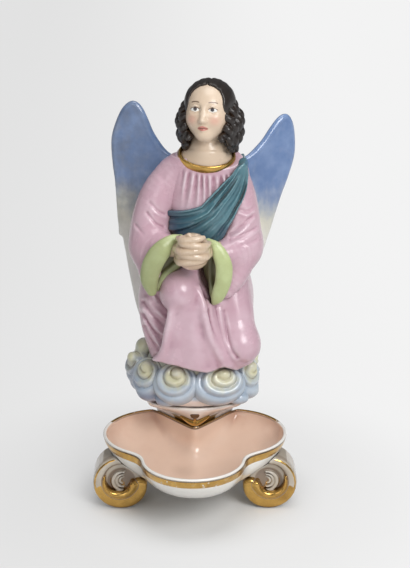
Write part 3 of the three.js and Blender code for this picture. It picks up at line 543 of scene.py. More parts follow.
def cloud_finish():
    finish = Finish("cloud_glaze")
    blue = enamel(finish, *CLOUD, mottle=0.4, grain=8.0, depth=0.3)
    moss = enamel(finish, *MOSS, mottle=0.3, grain=6.0, depth=0.3)
    edge = finish.math("ADD", finish.painted("moss"), finish.patches(6.0, 0.2, 0.8, -0.25, 0.25))
    tone = finish.mix(finish.step(edge, 0.0, 1.1), blue, moss)
    tone = finish.shaded("shade", 0.6, tone, CLOUD_SHADE)
    # Ochre in the grooves: the clouds' own ochre, and painted shade.
    tone = finish.mix(finish.step(finish.painted("relief"), 0.15, 0.6, 0.0, 0.7), tone, colour(*OCHRE))
    return glossy(finish, finish.shaded("salmon", 1.0, tone, CLOUD_BAND))


def face_finish():
    finish = Finish("face_glaze", coat=0.1)
    tone = enamel(finish, *FACE, mottle=0.2)
    for mask, low, high, most, paint in FACE_PAINT:
        tone = finish.mix(finish.step(finish.painted(mask), low, high, 0.0, most), tone, paint)
    return glossy(finish, tone, rough=0.12)


PINK_GLAZE = enamel_finish("pink_glaze", PINK, PINK_SHADE, 0.85, coat=0.2, rough=0.06, gap_shade_and_dirt_share=0.5,
                           mottle=0.35, depth=0.32)
TEAL_GLAZE = enamel_finish("teal_glaze", TEAL, TEAL_SHADE, 0.7, mottle=0.2)
GREEN_GLAZE = enamel_finish("green_glaze", GREEN, GREEN_SHADE, 0.85, coat=0.05, rough=0.16,
                            mottle=0.5, grain=4.0)
HAIR_GLAZE = enamel_finish("hair_glaze", HAIR, coat=0.0, rough=0.16, mottle=0.15, grain=4.0)
HAND_GLAZE = enamel_finish("hand_glaze", FLESH, mottle=0.2, depth=0.3)
FACE_GLAZE = face_finish()
FOOT_GILDING = gilded_finish("foot_gilding", FOOT_WHITE)
PLINTH_GILDING = gilded_finish("plinth_gilding", PLINTH_WHITE)
BASIN_GLAZE = basin_finish()
WING_GLAZE = wing_finish()
CLOUD_GLAZE = cloud_finish()


# Stand: basin, scroll feet, plinth and leaf

BOWL_DEPTH = 33.0
BOWL_WALL = 2.6
BOWL_BED = 50.0
BOWL_TURNS = 320
BOWL_STEPS = 28
BOWL_SMOOTHING = 260
LIP = 1.3
LIP_STEPS = 9
# Lobes of the rim: x, y and radius. The side lobe is there on the right and on the left.
FRONT_LOBE = (-1.2, -23.9, 36.2)
SIDE_LOBE = (24.15, 22.2, 41.8)
LOBE_BLEND = 15.6
NOTCH_Y = 25.6
NOTCH_SLOPE = 1.18
NOTCH_ROUND = 0.022
NOTCH_BLEND = 9.0
NOTCH_OPENING = 0.2
NO_NOTCH = 200
# The gilt band's top and foot, below the rim, and brown stains inside: x, y, reach and strength.
BAND_TOP, BAND_FOOT = 1.0, 7.2
STAINS = [(-8, 14, 15, 0.42), (52, 34, 14, 0.336)]


def bowl_reach(angle):
    """Reach of the rim at an angle: three round lobes, with a V notch for the plinth at the back."""
    def lobe(x, y, radius):
        along = x * np.cos(angle) + y * np.sin(angle)
        room = radius ** 2 - x ** 2 - y ** 2 + along ** 2
        return np.where(room > 0, np.maximum(along + np.sqrt(np.maximum(room, 0)), 0), 0)

    x, y, radius = SIDE_LOBE
    lobes = soft_max(lobe(*FRONT_LOBE), np.maximum(lobe(x, y, radius), lobe(-x, y, radius)), LOBE_BLEND)
    off = np.mod(angle + math.pi / 2, 2 * math.pi) - math.pi
    opening = np.cos(off) - NOTCH_SLOPE * np.sqrt(np.sin(off) ** 2 + NOTCH_ROUND)
    notch = np.where(opening > NOTCH_OPENING, NOTCH_Y / np.maximum(opening, NOTCH_OPENING), NO_NOTCH)
    return soft_min(lobes, notch, NOTCH_BLEND)


def bowl_rows(angle):
    """Level lines from under the bowl over its lip to its inside: the reach at each angle, and the height."""
    reach = bowl_reach(angle)
    smooth = reach.copy()
    for _ in range(BOWL_SMOOTHING):
        smooth = (np.roll(smooth, 1) + 2 * smooth + np.roll(smooth, -1)) / 4
    rises = np.radians(np.linspace(4, 88, BOWL_STEPS))

    def bowl(rise, wall):
        """The reach at a rise, smooth at the bottom and lobed towards the rim."""
        out = math.sin(rise)
        edge = smooth + (reach - smooth) * out ** 11
        return np.maximum((BOWL_BED + (edge - BOWL_BED) * out) * out - wall, 0.6)

    rows = [(bowl(rise, 0), RIM_Z - BOWL_DEPTH * math.cos(rise)) for rise in rises]
    for turn in np.radians(np.linspace(0, 180, LIP_STEPS)):
        rows.append((reach - LIP + LIP * 1.05 * math.cos(turn), RIM_Z - LIP + LIP * math.sin(turn)))
    for rise in rises[::-1]:
        rows.append((bowl(rise, BOWL_WALL), RIM_Z - LIP - (BOWL_DEPTH - BOWL_WALL - LIP) * math.cos(rise)))
    return rows


def ringed(rows, angle, first_z, last_z):
    """Corners and faces of a skin of level rows, closed on the axis beside its first and its last row."""
    turns = len(angle)
    places = []
    for wide, z in rows:
        places.append(np.stack([wide * np.cos(angle), wide * np.sin(angle), np.full(turns, z)], 1))
    places = np.vstack(places + [[[0, 0, first_z]], [[0, 0, last_z]]])
    ring = np.arange(turns)
    after = np.roll(ring, -1)
    faces = []
    for start in turns * np.arange(len(rows) - 1):
        a, b = start + ring, start + after
        c, d = b + turns, a + turns
        faces += [np.stack([a, b, c], 1), np.stack([a, c, d], 1)]
    last = (len(rows) - 1) * turns
    faces.append(np.stack([np.full(turns, len(places) - 2), after, ring], 1))
    faces.append(np.stack([np.full(turns, len(places) - 1), last + ring, last + after], 1))
    return places, np.vstack(faces)


def make_basin():
    angle = np.arange(BOWL_TURNS) * 2 * math.pi / BOWL_TURNS
    rows = bowl_rows(angle)
    bottom = RIM_Z - BOWL_DEPTH
    places, faces = ringed(rows, angle, bottom, bottom + BOWL_WALL)
    past_lip = np.arange(len(rows)) > BOWL_STEPS + LIP_STEPS // 2
    inner = np.append(np.repeat(past_lip, BOWL_TURNS), [False, True])

    def paint(x, y, z, normals):
        below = RIM_Z - z
        front = ~inner * ease(-y, -46, -26)
        back = ease(y, 34, 44)
        band = front * ease(below, BAND_TOP, BAND_TOP + 0.5) * ease(below, BAND_FOOT, BAND_FOOT - 0.8)
        line = 0.6 * front * bell(below - BAND_FOOT - 0.1, 0.5)
        notch = bell(np.abs(y - NOTCH_Y - 1.4 - NOTCH_SLOPE * np.abs(x)), 5.0)
        rim = ease(below, 1.0, 0.3) * np.maximum(notch, back)
        dark = inner * bell(below - 1.2, 0.8) * np.maximum(notch, 0.7 * back)
        stain = sum(most * bell(np.hypot(x - at_x, y - at_y), wide) for at_x, at_y, wide, most in STAINS)
        return {
            "gold": np.maximum(band, rim),
            "brown": np.max([line, dark, inner * stain * ease(below, 0, 5)], 0),
            "salmon": inner * ease(below, 0.15, 0.9),
        }

    build("stoup_basin", "basin", "white_glaze", BASIN_GLAZE, places, faces, paint)


FOOT_X = 52.5
FOOT_Z = 20.0
FOOT_HALF = 13.4
FOOT_BOTTOM = 0.02
# Lines of a foot's scroll, from the outside and above: angle in degrees, reach and half thickness.
SCROLL = [(74, 17.4, 2.8), (130, 17.1, 3.0), (180, 16.5, 3.8), (230, 15.5, 4.9), (280, 14.6, 5.7),
          (320, 13.8, 5.9), (350, 13.2, 5.4)]
ROLL = [(160, 12.6, 0.8), (200, 11.6, 1.6), (240, 10.2, 2.1), (280, 9.1, 2.3), (320, 8.6, 2.5),
        (352, 9.0, 2.7)]
# Flutes inside the scroll: radius, first and last angle and half thickness.
FLUTES = [(7.2, 84, 285, 1.3), (4.7, 88, 275, 1.1), (2.4, 92, 262, 0.9)]
FLUTE_SHIFT = 1.2
FLUTE_POINTS = 7


def under_bowl(x, y, z):
    """How far a spot lies within the basin's outside, negative below it."""
    reach = bowl_reach(np.arctan2(y, x + 1e-9))
    out = np.sqrt(1 - np.clip((RIM_Z - z) / BOWL_DEPTH, 0, 1) ** 2)
    return (BOWL_BED + (reach - BOWL_BED) * out) * out - np.hypot(x, y)


def make_foot(side, node):
    """A scroll: a band that runs from under the basin round the outside and the floor to a curled tongue."""
    x0 = -side * FOOT_X

    def placed(rows, shift=0.0):
        rows = flowing(rows)
        angle = np.radians(rows[:, 0])
        x = x0 + side * (rows[:, 1] * np.cos(angle) + shift)
        return np.stack([x, 0 * x, FOOT_Z + rows[:, 1] * np.sin(angle), rows[:, 2]], 1)

    def crescent(radius, start, end, thick):
        angles = np.linspace(start, end, FLUTE_POINTS)
        thicks = thick * np.sin(np.linspace(0.3, math.pi - 0.3, FLUTE_POINTS)) ** 0.7
        return placed(np.stack([angles, np.full(FLUTE_POINTS, radius), thicks], 1), FLUTE_SHIFT)

    band = placed(SCROLL)
    roll = placed(ROLL)
    flutes = [crescent(*row) for row in FLUTES]
    clay = Clay((x0 - 22, FOOT_MIDDLE_Y - 16, 0), (x0 + 22, FOOT_MIDDLE_Y + 15, 43), 0.5)

    def slab(rows, half, rounding):
        def distance(x, y, z):
            across = np.abs(y - FOOT_MIDDLE_Y) - half
            return soft_max(line_distance(rows, x, 0.0, z, FLAT), across, rounding)
        return np.array([x0 - 24, -6, -2]), np.array([x0 + 24, 27, 44]), distance

    def plate(x, y, z):
        """The web inside the scroll, thicker in a ring near its edge."""
        r = np.sqrt((x - x0) ** 2 + (z - FOOT_Z) ** 2)
        dish = 7.0 + 2.2 * bell(r - 13, 4.5)
        return soft_max(r - 14.5, np.abs(y - FOOT_MIDDLE_Y) - dish, 2.0)

    clay.add(slab(band, FOOT_HALF, 3.6))
    clay.add((np.array([x0 - 16, 0, 3]), np.array([x0 + 16, 22, 36]), plate), 2.0)
    clay.add(slab(roll, FOOT_HALF + 1.2, 3.0), 0.8)
    for step, flute in enumerate(flutes):
        clay.add(slab(flute, FOOT_HALF - 3.2 - 0.9 * step, 1.2), 0.7)
    clay.keep(lambda x, y, z: FOOT_BOTTOM - z)
    clay.keep(under_bowl, 1.0)

    def paint(x, y, z, normals):
        angle = np.degrees(np.arctan2(z - FOOT_Z, side * (x - x0)))
        angle = np.where(angle < 40, angle + 360, angle)
        r = np.hypot(x - x0, z - FOOT_Z)
        ahead = FOOT_MIDDLE_Y - y
        front = ease(ahead, 3, 7)
        on_band, on_roll, *on_flutes = (line_distance(f, x, 0.0, z, FLAT) for f in [band, roll] + flutes)
        near = np.min(on_flutes, 0)
        on_either = np.minimum(on_band, on_roll)
        lower = ease(angle - 1.5 * (r - 16), 176, 200)
        face = lower * front * ease(on_either, 0.6, 0.0) * ease(on_band, 0.1, -0.7 * (on_roll > 0.5))
        end = ease(angle, 312, 326) * ease(on_either, 0.6, 0.1) * ease(np.abs(ahead), 13.2, 12)
        stripe = front * bell(on_band + 1.4, 0.6) * ease(angle, 96, 110) * ease(r, 17, 18)
        lines = 0.8 * front * bell(near - 0.5, 0.4) * ease(r, 11, 9) * ease(angle, 130, 180)
        ahead_facing = ease(-normals[:, 1], 0.05, 0.45)
        roll_gold = front * ease(on_roll, 0.4, -0.1)
        gold = np.max([face * ahead_facing, roll_gold, end * ease(z, 3.0, 7.0), stripe, lines], 0)
        # Brown as painted shade in the grooves between the flutes, and brown lines where the band meets the
        # web and the roll.
        grooves = front * ease(r, 11.5, 9.5) * ease(near, -0.1, 0.7)
        under = front * bell(on_band - 0.6, 1.0) * (1 - lower)
        rim = front * bell(on_roll - 0.6, 0.7) * ease(on_band, 0.6, 0.0)
        brown = np.max([0.65 * grooves, 0.7 * under, 0.8 * rim], 0)
        return {"gold": gold * (1 - 0.7 * rim * (on_roll > 0.3)), "brown": brown}

    sculpt("stoup_" + node, node, "gilding", FOOT_GILDING, clay, paint)


PLINTH_ROWS = [(0, 0, 65, 60, 46), (8, 0, 65, 60, 46), (29.7, 0, 60, 50, 42), (50.2, 0, 55, 60, 60),
               (PLINTH_Z, 0, 55, 76, 64)]
PROW_ROUND = 6
# The leaf's left half, from its tip to the middle: x, z and radius. The gem sits above its middle.
LEAF = [(-10, 55.6, 0.9), (-6.5, 54.4, 1.8), (-3, 53.3, 2.2), (0, 52.8, 2.4)]
LEAF_SUNK = 0.9
GEM_Z = 60.2
GEM_RADII = (3.4, 2.0, 2.6)


def prow(z):
    """Where the edge of the plinth's front stands at a height, and how fast its two sides fall back."""
    share = ease(z, RIM_Z, PLINTH_Z)
    return NOTCH_Y + 2.7 - 5.4 * share, NOTCH_SLOPE * (1 - 0.72 * share)


def make_plinth():
    clay = Clay((-40, 20, 0), (40, 92, 66), 0.7)
    clay.add(stack(PLINTH_ROWS))

    def front(x, y, z):
        start, slope = prow(z)
        return (start + slope * np.sqrt(x * x + PROW_ROUND) - y) / np.sqrt(1 + slope ** 2)

    clay.keep(front, 3.0)

    def paint(x, y, z, normals):
        x = np.abs(x)
        line = RIM_Z + 0.2 + 0.12 * x
        near = ease(26 - x, 0, 6) * ease(50 - y, 0, 6)
        gold = ease(z, line + 7.0 - 0.2 * x, line + 4.0 - 0.2 * x) * ease(z, 44, 46) * near
        # Brown just above where the basin's rim meets the plinth: painted shade.
        brown = bell(z - line - 1.0, 1.8) * near
        return {"gold": gold * 0.62, "brown": np.maximum(brown, 0.5 * gold)}

    sculpt("stoup_plinth", "plinth", "white_glaze", PLINTH_GILDING, clay, paint)


def make_leaf():
    rows = []
    for x, z, radius in LEAF:
        start, slope = prow(z)
        rows.append((x, start + slope * math.sqrt(x * x + PROW_ROUND) - LEAF_SUNK, z, radius))
    middle_y = rows[-1][1]
    rows += [(-x, y, z, radius) for x, y, z, radius in rows[-2::-1]]
    clay = Clay((-14, 14, 46), (14, 46, 66), 0.4)
    clay.add(tube(rows))
    gem_y = prow(GEM_Z)[0] + 2.2
    clay.add(ellipsoid((0, gem_y, GEM_Z), GEM_RADII), 0.6)
    clay.add(tube([(0, middle_y, 53, 1.4), (0, gem_y, 59, 0.9)]), 0.8)
    for side in (-1, 1):
        clay.add(tube([(0, gem_y, GEM_Z, 1.2), (side * 6, gem_y + 3.6, 59.6, 0.8)]), 0.8)

    def paint(x, y, z, normals):
        gem = 1 - ease(np.hypot(x / GEM_RADII[0], (z - GEM_Z) / GEM_RADII[2]), 0.9, 1.2)
        return {"gold": 1 - gem, "brown": gem}

    sculpt("stoup_leaf", "plinth_leaf", "gilding", PLINTH_GILDING, clay, paint)


# Clouds

CLOUD_ROWS = [(66.3, 0, 55, 72, 57), (74, 0, 55, 80, 62), (88, 0, 55, 76, 58), (104, 0, 55, 60, 48)]
# Each swirl's node, middle, facing in degrees from the right, half width and height, outer end and winding.
SWIRLS = [
    ("cloud_swirl_front_left", (-14.0, 26, 86.0), -98, 17.0, 15.8, -30, -1),
    ("cloud_swirl_front_right", (17.2, 27, 84.5), -80, 20.5, 14.8, 205, 1),
    ("cloud_curl_left", (-33.6, 40, 85.5), -130, 15.5, 15.0, -60, -1),
    ("cloud_curl_right", (36.4, 43, 83.5), -44, 13.5, 13.8, 235, 1),
    ("cloud_curl_left_side", (-42.0, 57, 86.5), -152, 13.0, 13.0, -80, -1),
    ("cloud_curl_right_side", (39.0, 61, 84.5), 8, 14.0, 13.8, 250, 1),
    ("cloud_curl_left_back", (-25.5, 77, 85.0), 132, 16.5, 14.0, -60, -1),
    ("cloud_curl_right_back", (25.5, 77, 85.0), 48, 16.5, 14.0, 240, 1),
    ("cloud_curl_back", (0, 83.5, 85.0), 90, 17.0, 14.0, -40, -1),
]
# Plain puffs beside a swirl: the middle and the half sizes.
PUFFS = {
    "cloud_curl_left": [(-31.5, 38.5, 73.5, 10, 8, 6.6), (-20, 28.5, 72, 8.5, 6, 5.2)],
    "cloud_curl_right": [(37.5, 44.5, 72.5, 9, 8, 6), (31, 33, 71.5, 8, 6, 5)],
    "cloud_curl_left_side": [(-37, 60, 100, 6.4, 6, 7.4), (-39, 57, 74, 8, 9, 6.4)],
    "cloud_curl_right_side": [(38, 58, 73, 8, 9, 6)],
}
SWIRL_BOTTOM = 66.4
SWIRL_LEAN = math.radians(32)
SWIRL_TURNS = 3.3
SWIRL_OUT = 8.0
SWIRL_BACK = 9
# The knob's place in shares of the swirl's half sizes, and its own half sizes.
SWIRL_ASIDE, SWIRL_RISE = 0.14, 0.36
KNOB_RADII = (3.6, 4.4, 3.9)
ROLL_RISE = 4.0
ROLL_EDGE = 0.5


def make_clouds():
    base = Clay((-43, 21, 66), (43, 89, 105), 0.8)
    base.add(stack(CLOUD_ROWS))

    def paint(x, y, z, normals):
        return {"moss": 0.6 * ease(z, 84, 94), "salmon": ease(z, 74, 71)}

    sculpt("stoup_cloud_base", "cloud_base", "cloud_glaze", CLOUD_GLAZE, base, paint)
    for row in SWIRLS:
        make_swirl(*row)


def swirl_ring(across, rise):
    """Share of the swirl's size at a spot, 1 on its edge and 0 at its knob, which lies aside and higher."""
    a, b = across - SWIRL_ASIDE, rise - SWIRL_RISE
    lean = a * SWIRL_ASIDE + b * SWIRL_RISE
    rest = 1 - SWIRL_ASIDE ** 2 - SWIRL_RISE ** 2
    ring = (lean + np.sqrt(lean ** 2 + rest * (a * a + b * b))) / rest
    return ring, np.arctan2(b + SWIRL_RISE * ring, a + SWIRL_ASIDE * ring)


def make_swirl(node, middle, facing, wide, tall, outer_end, way):
    """A cone of cloud wound of one roll, which starts at the outer end and thins out round the edge."""
    turn = math.radians(facing)
    middle = np.array(middle, float)
    face = np.array([math.cos(turn) * math.cos(SWIRL_LEAN), math.sin(turn) * math.cos(SWIRL_LEAN),
                     math.sin(SWIRL_LEAN)])
    side = np.array([-math.sin(turn), math.cos(turn), 0])
    axes = np.array([face, side, np.cross(face, side)])
    reach = max(wide, tall) + 8

    def rolls(x, y, z):
        f, s, t = local(middle, axes, x, y, z)
        ring, swing = swirl_ring(s / wide, t / tall)
        wound = SWIRL_TURNS * (1 - ring) + way * (swing - math.radians(outer_end)) / (2 * math.pi)
        share = wound - np.floor(wound)
        roll = np.sqrt(np.maximum(1 - (1 - np.minimum(share / ROLL_EDGE, 1)) ** 2, 0)) - share
        height = SWIRL_OUT * (1 - np.minimum(ring, 1.5) ** 1.4) + ROLL_RISE * roll
        front = soft_max((f - height) * 0.6, (ring - 1) * min(wide, tall), 5.0)
        return soft_max(front, -SWIRL_BACK - f, 3.0)

    clay = Clay(middle - reach, middle + reach, 0.5)
    clay.add((middle - reach, middle + reach, rolls))
    clay.soften()
    knob = middle + axes.T @ np.array([SWIRL_OUT + 0.5, SWIRL_ASIDE * wide, SWIRL_RISE * tall])
    clay.add(ellipsoid(knob, KNOB_RADII, axes), 1.5)
    for x, y, z, *radii in PUFFS.get(node, []):
        clay.add(ellipsoid((x, y, z), radii), 2.5)
    clay.keep(lambda x, y, z: SWIRL_BOTTOM - z)

    def paint(x, y, z, normals):
        s, t = local(middle, axes, x, y, z)[1:]
        ring = swirl_ring(s / wide, t / tall)[0]
        moss = np.maximum(ease(ring, 0.85, 0.2), 0.7 * ease(z, 92, 98))
        left = 0.6 * ease(-x, 37, 45) * ease(z, 97, 91)
        low = ease(z, 79, 72) * ease(-x, 18, 28)
        return {"moss": moss, "shade": np.maximum(left, low)}

    sculpt("stoup_" + node, node, "cloud_glaze", CLOUD_GLAZE, clay, paint)


# Robe: skirt, bodice, collar, sash, sleeves and cuffs

TORSO = stack([(180, 8, 55, 52, 40), (206, 8.5, 55, 58, 42), (228, 9, 55, 60, 38), (240, 9.3, 54, 56, 34),
               (247.5, 9.5, 52, 46, 29), (256, 9.5, 51, 34, 24)])
PLEAT_X = 9.2
PLEAT_STEP = 3.9
PLEAT_DEPTH = 0.95
COLLAR_MIDDLE = np.array([8.6, 49.6, 246.6])
COLLAR_TURN = turned(0, 27, 4)
COLLAR_RADII = (19.0, 14.2)
COLLAR_THICK = (1.5, 3.3)


def above_collar(x, y, z):
    return local(COLLAR_MIDDLE, COLLAR_TURN, x, y, z)[2]


def make_torso():
    clay = Clay((-24, 30, 178), (42, 78, 258), 0.65)
    clay.add(TORSO)

    def pleats(x, y, z):
        spread = (x - PLEAT_X) / (1 + 0.012 * (244 - z))
        fade = ease(-above_collar(x, y, z), 1.5, 6) * ease(z, 204, 230)
        fade = fade * ease(52 - y, 0, 8) * ease(np.abs(x - PLEAT_X), 21, 13)
        sway = np.sin(spread / 2.6 + z / 17.0)
        return PLEAT_DEPTH * fade * np.cos(2 * math.pi * spread / PLEAT_STEP + sway)

    clay.push(pleats)
    clay.keep(lambda x, y, z: above_collar(x, y, z) - 0.5)
    sculpt("angel_torso", "torso", "pink_glaze", PINK_GLAZE, clay)


def make_collar():
    clay = Clay((-16, 28, 234), (35, 70, 260), 0.4)
    clay.add(oval_ring(COLLAR_MIDDLE, COLLAR_TURN, COLLAR_RADII, COLLAR_THICK))

    def paint(x, y, z, normals):
        return {"gold": np.ones(len(x))}

    sculpt("angel_collar", "collar", "gilding", FOOT_GILDING, clay, paint)


SHOULDER_KNOT = np.array([34.8, 46.0, 244.5])
SASH_LOW, SASH_HIGH = np.array([-30, 24, 178]), np.array([46, 82, 256])
# The sash's first and last edge: reach from the shoulder knot, and turn there in degrees.
SASH_FIRST = ([0, 12, 42, 52, 66, 80], [200, 221, 224, 219, 212, 207])
SASH_LAST = ([0, 12, 32, 46, 60, 80], [310, 283, 264, 257, 254, 252])
SASH_THICK = 3.4
SASH_FOLDS = 4.3


def make_sash():
    """Folds that fan out from the right shoulder to the waist, in front and behind."""
    clay = Clay(SASH_LOW, SASH_HIGH, 0.55)

    def cloth(x, y, z):
        along_x, along_z = x - SHOULDER_KNOT[0], z - SHOULDER_KNOT[2]
        reach = np.sqrt(along_x ** 2 + along_z ** 2)
        turn = np.degrees(np.mod(np.arctan2(along_z, along_x), 2 * math.pi))
        first = np.interp(reach, *SASH_FIRST)
        last = np.interp(reach, *SASH_LAST)
        share = (turn - first) / (last - first)
        edge = np.maximum(first - turn, turn - last) * np.maximum(reach, 4) * math.radians(1)
        sway = 0.5 * np.sin(4.2 * share + reach / 21.0) + 0.25 * np.sin(9 * share - reach / 15.0)
        folds = np.cos(2 * math.pi * SASH_FOLDS * share + 2.2 * sway)
        folds = folds + 0.35 * np.cos(2 * math.pi * 9 * share + reach / 8.0)
        deep = 1.5 * ease(reach, 3, 20) * ease(x, -32, -12) * (0.7 + 0.3 * np.sin(7 * share))
        height = SASH_THICK + deep * folds + 1.6 * bell(reach, 14)
        height = height * (0.3 + 0.7 * ease(x, -34, -26))
        return soft_max(TORSO[2](x, y, z) - height, edge, 1.8)

    clay.add((SASH_LOW, SASH_HIGH, cloth))
    clay.add(ellipsoid(SHOULDER_KNOT + [-1, 5, -2.5], (3.6, 8, 3.4)), 3)
    clay.cut(ellipsoid((9, 55, 205), (18, 10, 40)))

    def paint(x, y, z, normals):
        under_arm = ease(z, 205, 197) * ease(x, 12, 20)
        return {"shade": np.maximum(ease(-x - 1.1 * (z - 206), -14, 22), under_arm)}

    sculpt("angel_sash", "sash", "teal_glaze", TEAL_GLAZE, clay, paint)


# The arms: rows of x, y, z and radius, and folds of points, width and depth.
# A cuff's near lip is the broad turned-back edge, its far lip the thin one.
ARMS = {
    -1: {
        "sleeve_box": ((-52, 8, 140), (0, 74, 252)),
        "cuff_box": ((-44, 8, 142), (0, 38, 206)),
        "upper": [(-9, 54, 237, 9.5), (-18, 54, 229, 12), (-26, 52, 215, 13.5), (-31, 47, 197, 14),
                  (-31, 42, 185, 14)],
        "fore": [(-31, 42, 185, 13.5), (-24, 32, 186, 11), (-17, 27, 187, 9)],
        "hang": [(-31, 40, 180, 12), (-30, 32, 170, 10)],
        "near": [(-10, 24, 194, 3.6), (-16, 21, 192.5, 5.6), (-23.5, 18, 187, 7), (-29, 17.5, 178, 7.2),
                 (-31.4, 19, 167, 6.4), (-30, 21, 157, 3.6)],
        "far": [(-9, 26, 190, 2.4), (-8, 28, 182, 2.6), (-11, 28, 175.5, 3), (-19, 27, 168, 3.2),
                (-27, 24, 158.5, 3)],
        "mouth": ((-18, 23, 178), (5.5, 11, 13), turned(20, 0, 26)),
        "folds": [([(-33, 38, 209), (-28, 36, 203), (-22, 36, 199)], 1.2, 1.0),
                  ([(-31, 38, 216), (-26, 37, 211), (-21, 37, 208)], 1.2, 0.8),
                  ([(-41, 38, 200), (-35, 36, 195), (-28, 36, 192)], 1.3, 0.9),
                  ([(-22, 38, 234), (-19, 38, 221), (-17, 38, 208)], 2.2, 0.9)],
    },
    1: {
        "sleeve_box": ((0, 8, 140), (52, 74, 252)),
        "cuff_box": ((0, 6, 138), (44, 36, 202)),
        "upper": [(25.5, 54, 238, 8.6), (28, 54, 229, 11.2), (30.8, 52, 216, 12.9), (33, 48, 200, 13.4),
                  (33.5, 43, 185, 14)],
        "fore": [(33.5, 43, 185, 13.5), (25, 32, 182, 11), (17, 26, 181, 9)],
        "hang": [(33, 40, 178, 12), (27, 31, 165, 10), (22, 26, 157, 7)],
        "near": [(9.5, 21, 192.5, 3.2), (15, 17.5, 189, 4.8), (20, 15.5, 179, 5.8), (20, 15.5, 167, 5.8),
                 (16.5, 17.5, 155, 4.8), (14, 20, 149.5, 2.6)],
        "far": [(10.5, 24, 190, 2), (11, 28, 181, 1.8), (11, 29, 166, 1.8), (12.4, 26, 154, 2),
                (14, 21, 150, 2)],
        "mouth": ((13, 23, 172), (5.5, 11, 17), turned(-20, 0, -6)),
        "folds": [([(43, 38, 213), (37, 37, 210), (30, 37, 212)], 1.2, 0.9),
                  ([(25, 32, 195), (32, 33, 200), (41, 36, 207)], 1.3, 1.1),
                  ([(25, 30, 192), (34, 32, 195), (44, 35, 199)], 1.3, 1.1),
                  ([(26, 29, 188), (34, 30, 188.5), (43, 34, 191)], 1.4, 0.6)],
    },
}
# The left sleeve runs into the bodice up to here: furthest right, furthest back and highest.
SHOULDER_X, SHOULDER_Y, SHOULDER_Z = -5, 68, 247
SHOULDER_FADE_Z = 242


def make_sleeve(side, node, cuff_node):
    arm = ARMS[side]
    clay = Clay(*arm["sleeve_box"], 0.6)
    clay.add(tube(arm["upper"]))
    clay.add(tube(arm["fore"]), 6)
    clay.add(tube(arm["hang"]), 7)
    if side < 0:
        def shoulder(x, y, z):
            return TORSO[2](x, y, z) + 0.3 + 0.35 * np.maximum(SHOULDER_FADE_Z - z, 0)

        def past_shoulder(x, y, z):
            return np.maximum(np.maximum(x - SHOULDER_X, y - SHOULDER_Y), z - SHOULDER_Z)

        clay.add((TORSO[0], TORSO[1], shoulder), 9)
        clay.keep(past_shoulder)
    for fold, width, depth in arm["folds"]:
        clay.crease(fold, width, depth)
        clay.crease([(x + 1, y, z - 2.8) for x, y, z in fold], width, -0.5 * depth)
    middle, radii, axes = arm["mouth"]
    clay.cut(ellipsoid(middle, radii, axes), 1.5)
    sculpt("angel_" + node, node, "pink_glaze", PINK_GLAZE, clay)
    cuff = Clay(*arm["cuff_box"], 0.45)
    cuff.add(tube(arm["near"], 5, (1, 1.7, 1)))
    cuff.add(tube(arm["far"], 5, (1, 1.3, 1)), 1.5)
    cuff.add(ellipsoid(np.array(middle) + [0, 9, 0], (radii[0] + 2, 4, radii[2]), axes), 2)

    def paint(x, y, z, normals):
        return {"shade": np.maximum(ease(y, 22.5, 28), 0.36 * ease(-x, 12, 26))}

    sculpt("angel_" + cuff_node, cuff_node, "green_glaze", GREEN_GLAZE, cuff, paint)


SKIRT_ROWS = [(HEM_Z, 6, 57, 66, 54), (112, 5, 57, 72, 56), (130, 4, 57, 77, 58), (148, 3.5, 57, 77, 56),
              (166, 5.5, 56, 64, 48), (184, 8, 55, 52, 40)]
KNEE = ((-10.4, 27, 154.5), (14.8, 16.5, 16.0))
KNEE_DOWN = ((32.2, 28, 115), (12.8, 13.2, 14.0))
# The cloth that hangs from the knee, widest at the hem.
TENT_ROWS = [(HEM_Z, -3.7, 27, 50, 32), (106, -3.7, 26, 47, 31), (117.6, -2.8, 25, 37, 29.5),
             (127, -4.5, 24.5, 30.4, 28), (139, -4.9, 25, 26, 26.5), (148, -3.6, 26, 20.5, 25),
             (156, -3.5, 29, 14, 20)]
# Where the lap opens between the knee and the right cuff.
LAP_GAP = tube([(6.5, 20, 177, 6.0), (8, 22, 166, 4.6), (10.5, 22, 157, 3.0), (12, 22, 150, 1.5)],
               weights=(1, 0.33, 1))
# Limbs of the skirt, each a bar of x, y, z and radius rows and the softness of its join.
SKIRT_FORMS = [
    ([(-14, 51, 166, 17), (-24, 46, 149, 15.5), (-25, 45, 128, 14), (-20, 44, 106, 13)], 6),
    ([(4, 52, 160, 17), (-5, 38, 158, 15.5), (-9, 30, 156, 14)], 4),
    ([(22, 47, 160, 13), (25, 41.5, 148, 14), (27.5, 37.5, 137, 14), (29.5, 33.5, 126.5, 13.4),
      (31.5, 29, 117, 12.2)], 8),
    ([(32, 27, 113, 13.4), (33, 50, 111, 13), (27, 72, 110, 11)], 4),
    ([(12, 37, 152, 10), (14.5, 31, 134, 11), (17.5, 27.5, 118, 11.5), (22, 26.5, 98, 11.5)], 5),
]
